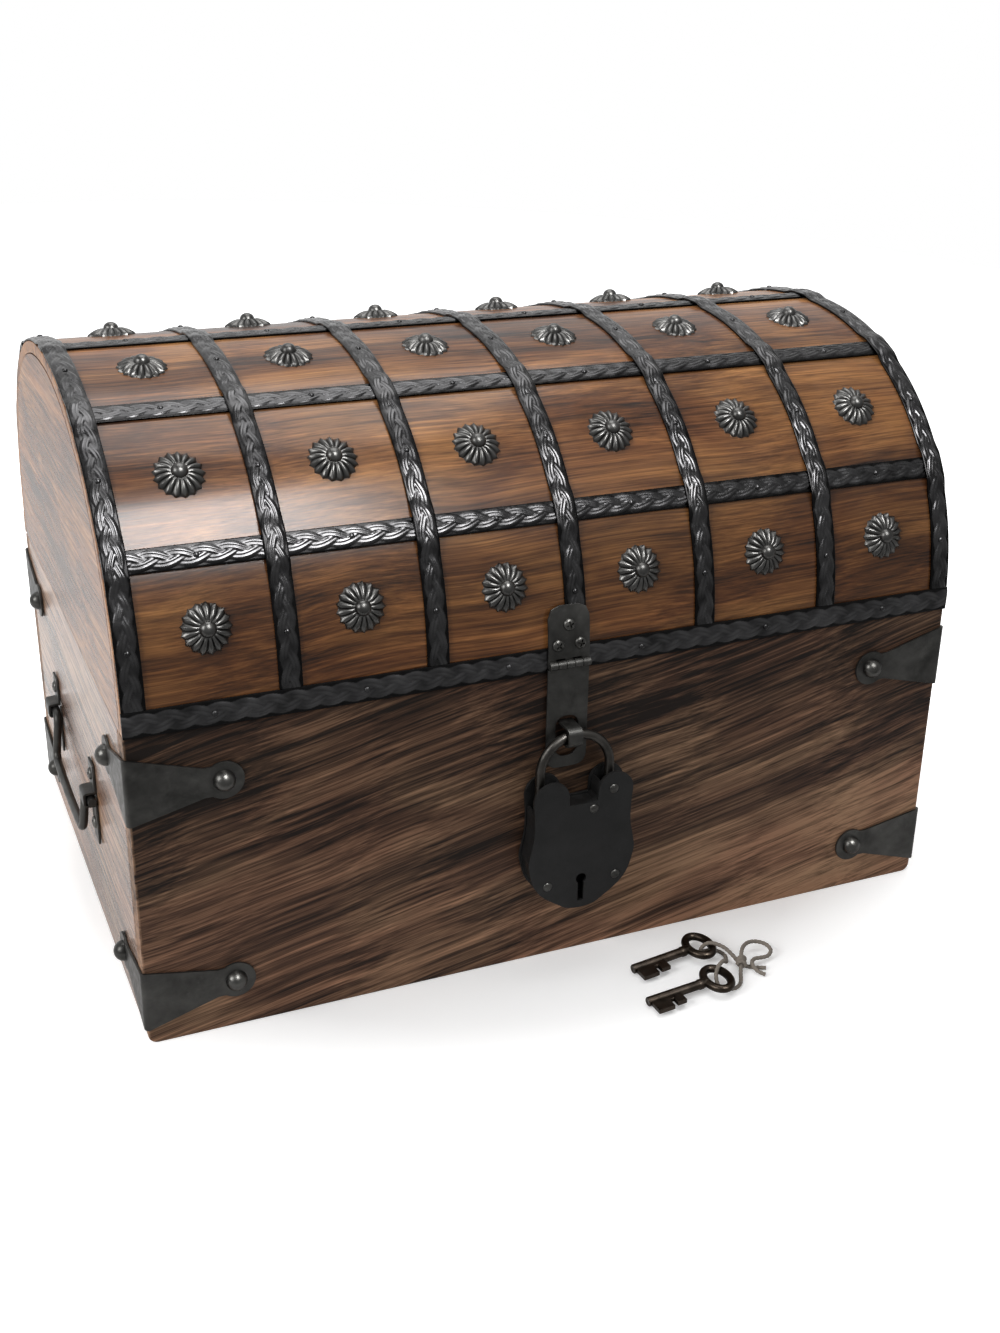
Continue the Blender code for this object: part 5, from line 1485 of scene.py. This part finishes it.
def on_lid_back(x, reach, lift):
    """A leaf's place over the lid's back."""
    y, z = over_arch(HINGE_Z - LID_BASE + reach, LEAF_BACK + lift)
    return (x, -float(y), float(z))


def on_lid_front(x, reach, lift):
    """A leaf's place over the lid's front."""
    y, z = over_arch(HASP_PIN_Z - LID_BASE + reach, LEAF_BACK + lift)
    return (x, float(y), float(z))


def hanging(x, reach, lift):
    """The place of the hasp's leaf, which hangs from its pin."""
    return (x, -HALF_DEPTH - LEAF_BACK - lift, HASP_PIN_Z + reach)


class CHEST_OT_hinges(bpy.types.Operator):
    """Make the two back hinges."""

    bl_idname = "chest.hinges"
    bl_label = "Back hinges"

    def execute(self, context):
        """Make the box's and the lid's leaf of each hinge."""
        screw = screw_shape()
        pin = (HALF_DEPTH + KNUCKLE_OUT, HINGE_Z)
        for side, name in ((-1, "left"), (1, "right")):
            middle = side * HINGE_BAND * BAND_PITCH
            spans = knuckle_spans(middle, HINGE_WIDTH, HINGE_KNUCKLES)
            end = leaf_end(middle, HINGE_WIDTH / 2, HINGE_LEAF, HINGE_CORNER, HINGE_CORNER_STEPS)
            for body, first, place in (("box", 0, on_box_back), ("lid", 1, on_lid_back)):
                node = f"hinge_{body}_leaf_{name}"
                loops = [[*comb_edge(spans, first), *end]]
                keep_leaf(node, loops, HINGE_CUTS, place, spans, first, pin, body)
                places = []
                for way, share in zip((-1, 1), HINGE_SCREW_SHARES):
                    x = middle + way * HINGE_WIDTH / 4
                    spot, above = (place(x, share * HINGE_LEAF, lift) for lift in (IRON, 2 * IRON))
                    normal = Vector(above) - Vector(spot)
                    places.append(facing(spot, normal, (1, 0, 0)) @ Matrix.Rotation(share, 4, "Z"))
                keep_stamps(f"{node}_screws", screw, places, "screw_iron_bright", body)
        return {"FINISHED"}


class CHEST_OT_hasp(bpy.types.Operator):
    """Make the hasp's plate and leaf and the staple."""

    bl_idname = "chest.hasp"
    bl_label = "Hasp"

    def execute(self, context):
        """Make the plate on the lid, the leaf that hangs from it and the staple."""
        spans = knuckle_spans(HASP_X, HASP_WIDTH, HASP_KNUCKLES)
        pin = (-HALF_DEPTH - KNUCKLE_OUT, HASP_PIN_Z)
        end = leaf_end(HASP_X, HASP_WIDTH / 2, HASP_PLATE, HASP_CORNER, HASP_PLATE_CORNER_STEPS)
        outline = [*comb_edge(spans, 0), *end]
        keep_leaf("hasp_plate", [outline], HASP_PLATE_CUTS, on_lid_front, spans, 0, pin, "lid")
        first, each = HASP_SCREW_TURNS
        places = [
            arch_place(HASP_X + x, HASP_PIN_Z - LID_BASE + rise, LEAF_BACK + IRON, first + each * k)
            for k, (x, rise) in enumerate(HASP_SCREWS)
        ]
        screw = screw_shape(HASP_SCREW_SHARE)
        keep_stamps("hasp_plate_screws", screw, places, "screw_iron_bright", "lid")

        edge = [(x, -reach) for x, reach in comb_edge(spans, 1)]
        end = leaf_end(HASP_X, HASP_WIDTH / 2, -HASP_LENGTH, HASP_CORNER, HASP_LEAF_CORNER_STEPS)
        right = HASP_SLOT_HALF - HASP_SLOT_ROUND
        top = -HASP_SLOT_START - HASP_SLOT_ROUND
        low = -HASP_SLOT_END + HASP_SLOT_ROUND
        slot = []
        for k, (u, v) in enumerate(((right, top), (-right, top), (-right, low), (right, low))):
            start = k * QUARTER
            slot += arc((HASP_X + u, v), HASP_SLOT_ROUND, start, start + QUARTER, HASP_SLOT_STEPS)
        keep_leaf("hasp_leaf", [[*edge, *end], slot], 0, hanging, spans, 1, pin, "hasp")

        middle = (HASP_X, -HALF_DEPTH, 0)
        bm = standing_plate([staple_outline()], STAPLE_WIDTH, middle, (0, -1, 0), sizes().iron_edge)
        keep_plain("staple", bm, "box", "hasp_staple")
        return {"FINISHED"}


def staple_outline():
    """The staple's side view, as distance off the wood and height."""
    bar_reach = STAPLE_WIDTH / 2 + RING_X - HASP_X
    bar_sag = SHACKLE_BEND - math.sqrt(SHACKLE_BEND**2 - bar_reach**2)
    inner_low = SHACKLE_TOP - SHACKLE_RADIUS - bar_sag - GAP
    inner_high = SHACKLE_TOP + SHACKLE_RADIUS + STAPLE_ROOM
    bend_in = STAPLE_RADIUS - STAPLE_STRIP
    bend_u = -HALF_DEPTH - SHACKLE_Y + SHACKLE_RADIUS + bar_sag + GAP - bend_in
    low = (bend_u, inner_low + bend_in)
    high = (bend_u, inner_high - bend_in)
    return [
        (-BOARD, inner_low - STAPLE_STRIP),
        *arc(low, STAPLE_RADIUS, -QUARTER, 0, STAPLE_OUTER_STEPS),
        *arc(high, STAPLE_RADIUS, 0, QUARTER, STAPLE_OUTER_STEPS),
        (-BOARD, inner_high + STAPLE_STRIP),
        (-BOARD, inner_high),
        *arc(high, bend_in, QUARTER, 0, STAPLE_INNER_STEPS),
        *arc(low, bend_in, 0, -QUARTER, STAPLE_INNER_STEPS),
        (-BOARD, inner_low),
    ]


class CHEST_OT_padlock(bpy.types.Operator):
    """Make the padlock's case and shackle."""

    bl_idname = "chest.padlock"
    bl_label = "Padlock"

    def execute(self, context):
        """Make the plates, rivets and shackle, and finish the walls between the plates."""
        black = metal_finish("lock_black_paint")
        right = [(x * LOCK_HALF, z * LOCK_HEIGHT) for x, z in LOCK_SIDE_SHARES]
        points = [(0, 0), *right, *[(-x, z) for x, z in right[::-1]]]
        outline = spline([points[-1], *points, *points[:2]], LOCK_SMOOTHING)
        turn = math.asin(KEYHOLE_HALF / KEYHOLE_RADIUS)
        round_part = (turn - QUARTER, 3 * QUARTER - turn, KEYHOLE_STEPS)
        keyhole = arc((0, KEYHOLE_TOP), KEYHOLE_RADIUS, *round_part)
        keyhole += [(-KEYHOLE_HALF, KEYHOLE_END), (KEYHOLE_HALF, KEYHOLE_END)]
        for name, way, loops in (("back", 1, [outline]), ("front", -1, [outline, keyhole])):
            middle = (LOCK_X, SHACKLE_Y + way * (LOCK_DEPTH - LOCK_PLATE) / 2, LOCK_BOTTOM)
            bm = standing_plate(loops, LOCK_PLATE, middle, (1, 0, 0), LOCK_EDGE)
            keep(f"padlock_{name}_sheet", bm, black, "padlock", (f"padlock_{name}_plate",))
        for name in ("padlock_wall", "padlock_notch_wall"):
            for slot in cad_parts[name].material_slots:
                slot.material = black
        spots = [(x * LOCK_HALF, z * LOCK_HEIGHT) for x, z in LOCK_RIVET_SHARES]
        spots.append((HEEL_X - LOCK_X, HEEL_Z - LOCK_BOTTOM))
        head = dome(RIVET_HEAD, RIVET_PROUD, RIVET_RINGS, LOCK_PLATE)
        rivet = pattern("rivet", turned(head, RIVET_STEPS))
        places = [
            facing((LOCK_X + x, SHACKLE_Y + way * LOCK_DEPTH / 2, LOCK_BOTTOM + z), (0, way, 0), (1, 0, 0))
            for x, z in spots for way in (-1, 1)
        ]
        heel = ("padlock_heel_rivet",)
        keep_stamps("padlock_rivets", rivet, places, "nail_iron_polished", "padlock", heel)

        bend = arc((RING_X, SHACKLE_TOP - SHACKLE_BEND), SHACKLE_BEND, 0, math.pi, SHACKLE_STEPS)
        path = [(HEEL_X, HEEL_Z), *bend, (RING_X - SHACKLE_BEND, TOE_Z)]
        bm = bmesh.new()
        add_rod(bm, [(x, SHACKLE_Y, z) for x, z in path], ring_of(SHACKLE_RADIUS, SHACKLE_SIDES))
        eye = pattern("heel_eye", turned(HEEL_EYE, HEEL_STEPS))
        stamp(bm, eye, facing((HEEL_X, SHACKLE_Y, HEEL_Z), (0, -1, 0), (1, 0, 0)))
        steel = metal_finish("shackle_steel_worn")
        keep("shackle", bm, steel, "shackle", ("padlock_shackle",))
        return {"FINISHED"}


def bail_path():
    """The handle bar's middle line, as distance off the wood, place along the depth, and height."""
    ends = []
    for lug, way in zip(LUGS_Y, (1, -1)):
        inner = lug + way * (LUG_WIDTH / 2 + 2 * GAP)
        points = [(lug - way * (LUG_WIDTH / 2 + BAIL_STUB), 0), (inner, 0)]
        points += arc((inner, -BAIL_BEND), BAIL_BEND, QUARTER, QUARTER * (1 - way), BAIL_STEPS)[1:]
        centre = (inner + 2 * way * BAIL_BEND, BAIL_BEND - BAIL_DROP)
        points += arc(centre, BAIL_BEND, QUARTER * (1 + way), QUARTER * (1 + 2 * way), BAIL_STEPS)
        ends.append(points)
    middle = sum(LUGS_Y) / 2
    start, low = ends[0][-1]
    span = ends[1][-1][0] - start
    sag = [(middle + (u - 0.5) * span, low - BAIL_SAG * (1 - (2 * u - 1) ** 2)) for u in SAG_SHARES]
    slope = (BAIL_GRIP_OUT - BAIL_OUT) / BAIL_DROP
    height = (LOOP_BOTTOM + LOOP_TOP) / 2
    line = [*ends[0], *sag, *ends[1][::-1]]
    return [(BAIL_OUT - drop * slope, along, height + drop) for along, drop in line]


def lug_outline():
    """A lug's side view, as distance off the wood and height, with its loop rounded."""
    high = (LOOP_OUT - LUG_BEND, LOOP_TOP - LUG_BEND)
    low = (LOOP_OUT - LUG_BEND, LOOP_BOTTOM + LUG_BEND)
    inner = LUG_BEND - IRON
    return [
        (GAP, LUG_BOTTOM), (SHEET_STEP, LUG_BOTTOM), (SHEET_STEP, LOOP_BOTTOM - LOOP_ROOT),
        *arc(low, LUG_BEND, -QUARTER, 0, LUG_OUTER_STEPS),
        *arc(high, LUG_BEND, 0, QUARTER, LUG_OUTER_STEPS),
        (SHEET_STEP, LOOP_TOP + LOOP_ROOT), (SHEET_STEP, LUG_TOP), (GAP, LUG_TOP), (GAP, LOOP_TOP - IRON),
        *arc(high, inner, QUARTER, 0, LUG_INNER_STEPS),
        *arc(low, inner, 0, -QUARTER, LUG_INNER_STEPS),
        (GAP, LOOP_BOTTOM + IRON),
    ]


class CHEST_OT_handles(bpy.types.Operator):
    """Make the drop handles on both ends."""

    bl_idname = "chest.handles"
    bl_label = "Drop handles"

    def execute(self, context):
        """Make each bail and its two lugs with their screws."""
        screw = screw_shape()
        line = bail_path()
        for side, name in ((-1, "left"), (1, "right")):
            bm = bmesh.new()
            path = [(side * (HALF_WIDTH + out), y, z) for out, y, z in line]
            add_rod(bm, path, ring_of(BAIL_RADIUS, BAIL_SIDES))
            soften(bm, BAIL_EDGE)
            keep_plain(f"bail_{name}", bm, f"handle_{name}", f"handle_bail_{name}")
            for y, end in zip(LUGS_Y, ("front", "back")):
                node = f"handle_lug_{name}_{end}"
                middle = (side * HALF_WIDTH, y, 0)
                bm = standing_plate([lug_outline()], LUG_WIDTH, middle, (side, 0, 0), sizes().iron_edge)
                keep_plain(f"{node}_strip", bm, "box", node)
                places = [
                    facing((side * (HALF_WIDTH + SHEET_STEP), y, z), (side, 0, 0), (0, 1, 0))
                    @ Matrix.Rotation(LUG_SCREW_TURN * z, 4, "Z")
                    for z in LUG_SCREWS_Z
                ]
                keep_stamps(f"{node}_screws", screw, places, "screw_iron_bright", "box")
        return {"FINISHED"}


class CHEST_OT_keys(bpy.types.Operator):
    """Make the two keys."""

    bl_idname = "chest.keys"
    bl_label = "Keys"

    def execute(self, context):
        """Make each key's shank, bow and bit."""
        tilt = math.atan2(KEY_RAISE, KEY_BOW_X)
        shank = pattern("key_shank", turned(KEY_SHANK_PROFILE, KEY_SHANK_STEPS))
        turns = [math.tau * k / KEY_BOW_STEPS for k in range(KEY_BOW_STEPS)]
        bow = [(KEY_BOW_X + KEY_BOW_ALONG * math.cos(a), KEY_BOW_ACROSS * math.sin(a), 0) for a in turns]
        for k, ((x, y), turn) in enumerate(zip(KEY_PLACES, KEY_TURN_DEGREES)):
            bm = bmesh.new()
            add_plate(bm, [KEY_BIT], KEY_BIT_THICK)
            bmesh.ops.translate(bm, verts=bm.verts, vec=(0, 0, -KEY_BIT_THICK / 2))
            soften(bm, KEY_EDGE)
            add_rod(bm, bow, ring_of(KEY_BOW_BAR, KEY_BOW_SIDES), closed=True)
            stamp(bm, shank, facing((0, 0, 0), (1, 0, 0), (0, 0, 1)))
            turned_by = Matrix.Rotation(math.radians(turn), 4, "Z") @ Matrix.Rotation(-tilt, 4, "Y")
            place = Matrix.Translation((x, y, KEY_SHANK + GAP)) @ turned_by
            bmesh.ops.transform(bm, matrix=place, verts=bm.verts)
            bronze = metal_finish("key_bronze_worn")
            keep(f"bronze_key_{k + 1}", bm, bronze, "keys", (f"key_{k + 1}",))
        return {"FINISHED"}


class CHEST_PT_panel(bpy.types.Panel):
    """The chest's operators and values."""

    bl_idname = "CHEST_PT_panel"
    bl_label = "Treasure chest"
    bl_space_type = "VIEW_3D"
    bl_region_type = "UI"
    bl_category = "Chest"

    def draw(self, context):
        """List the operators, then the values."""
        for operator in OPERATORS:
            self.layout.operator(operator.bl_idname)
        for name in GROUPS:
            group = getattr(context.scene, name)
            column = self.layout.column()
            for key in group.bl_rna.properties.keys():
                if key not in ("rna_type", "name"):
                    column.prop(group, key)


GROUPS = {"chest_sizes": ChestSizes, "chest_finishes": ChestFinishes, "chest_stage": ChestStage}
OPERATORS = (
    CHEST_OT_stage, CHEST_OT_twine, CHEST_OT_box_boards, CHEST_OT_lid_boards, CHEST_OT_bands,
    CHEST_OT_rosettes, CHEST_OT_corner_straps, CHEST_OT_hinges, CHEST_OT_hasp, CHEST_OT_padlock,
    CHEST_OT_handles, CHEST_OT_keys,
)
CLASSES = (*GROUPS.values(), *OPERATORS, CHEST_PT_panel)


def register():
    """Register the groups, operators and panel."""
    for made in CLASSES:
        bpy.utils.register_class(made)
    for name, group in GROUPS.items():
        setattr(bpy.types.Scene, name, bpy.props.PointerProperty(type=group))


def unregister():
    """Take the groups, operators and panel out again."""
    for name in GROUPS:
        delattr(bpy.types.Scene, name)
    for made in reversed(CLASSES):
        bpy.utils.unregister_class(made)


def main():
    """Build every piece in order."""
    register()
    for operator in OPERATORS:
        getattr(bpy.ops.chest, operator.bl_idname.partition(".")[2])()


if __name__ == "__main__":
    main()
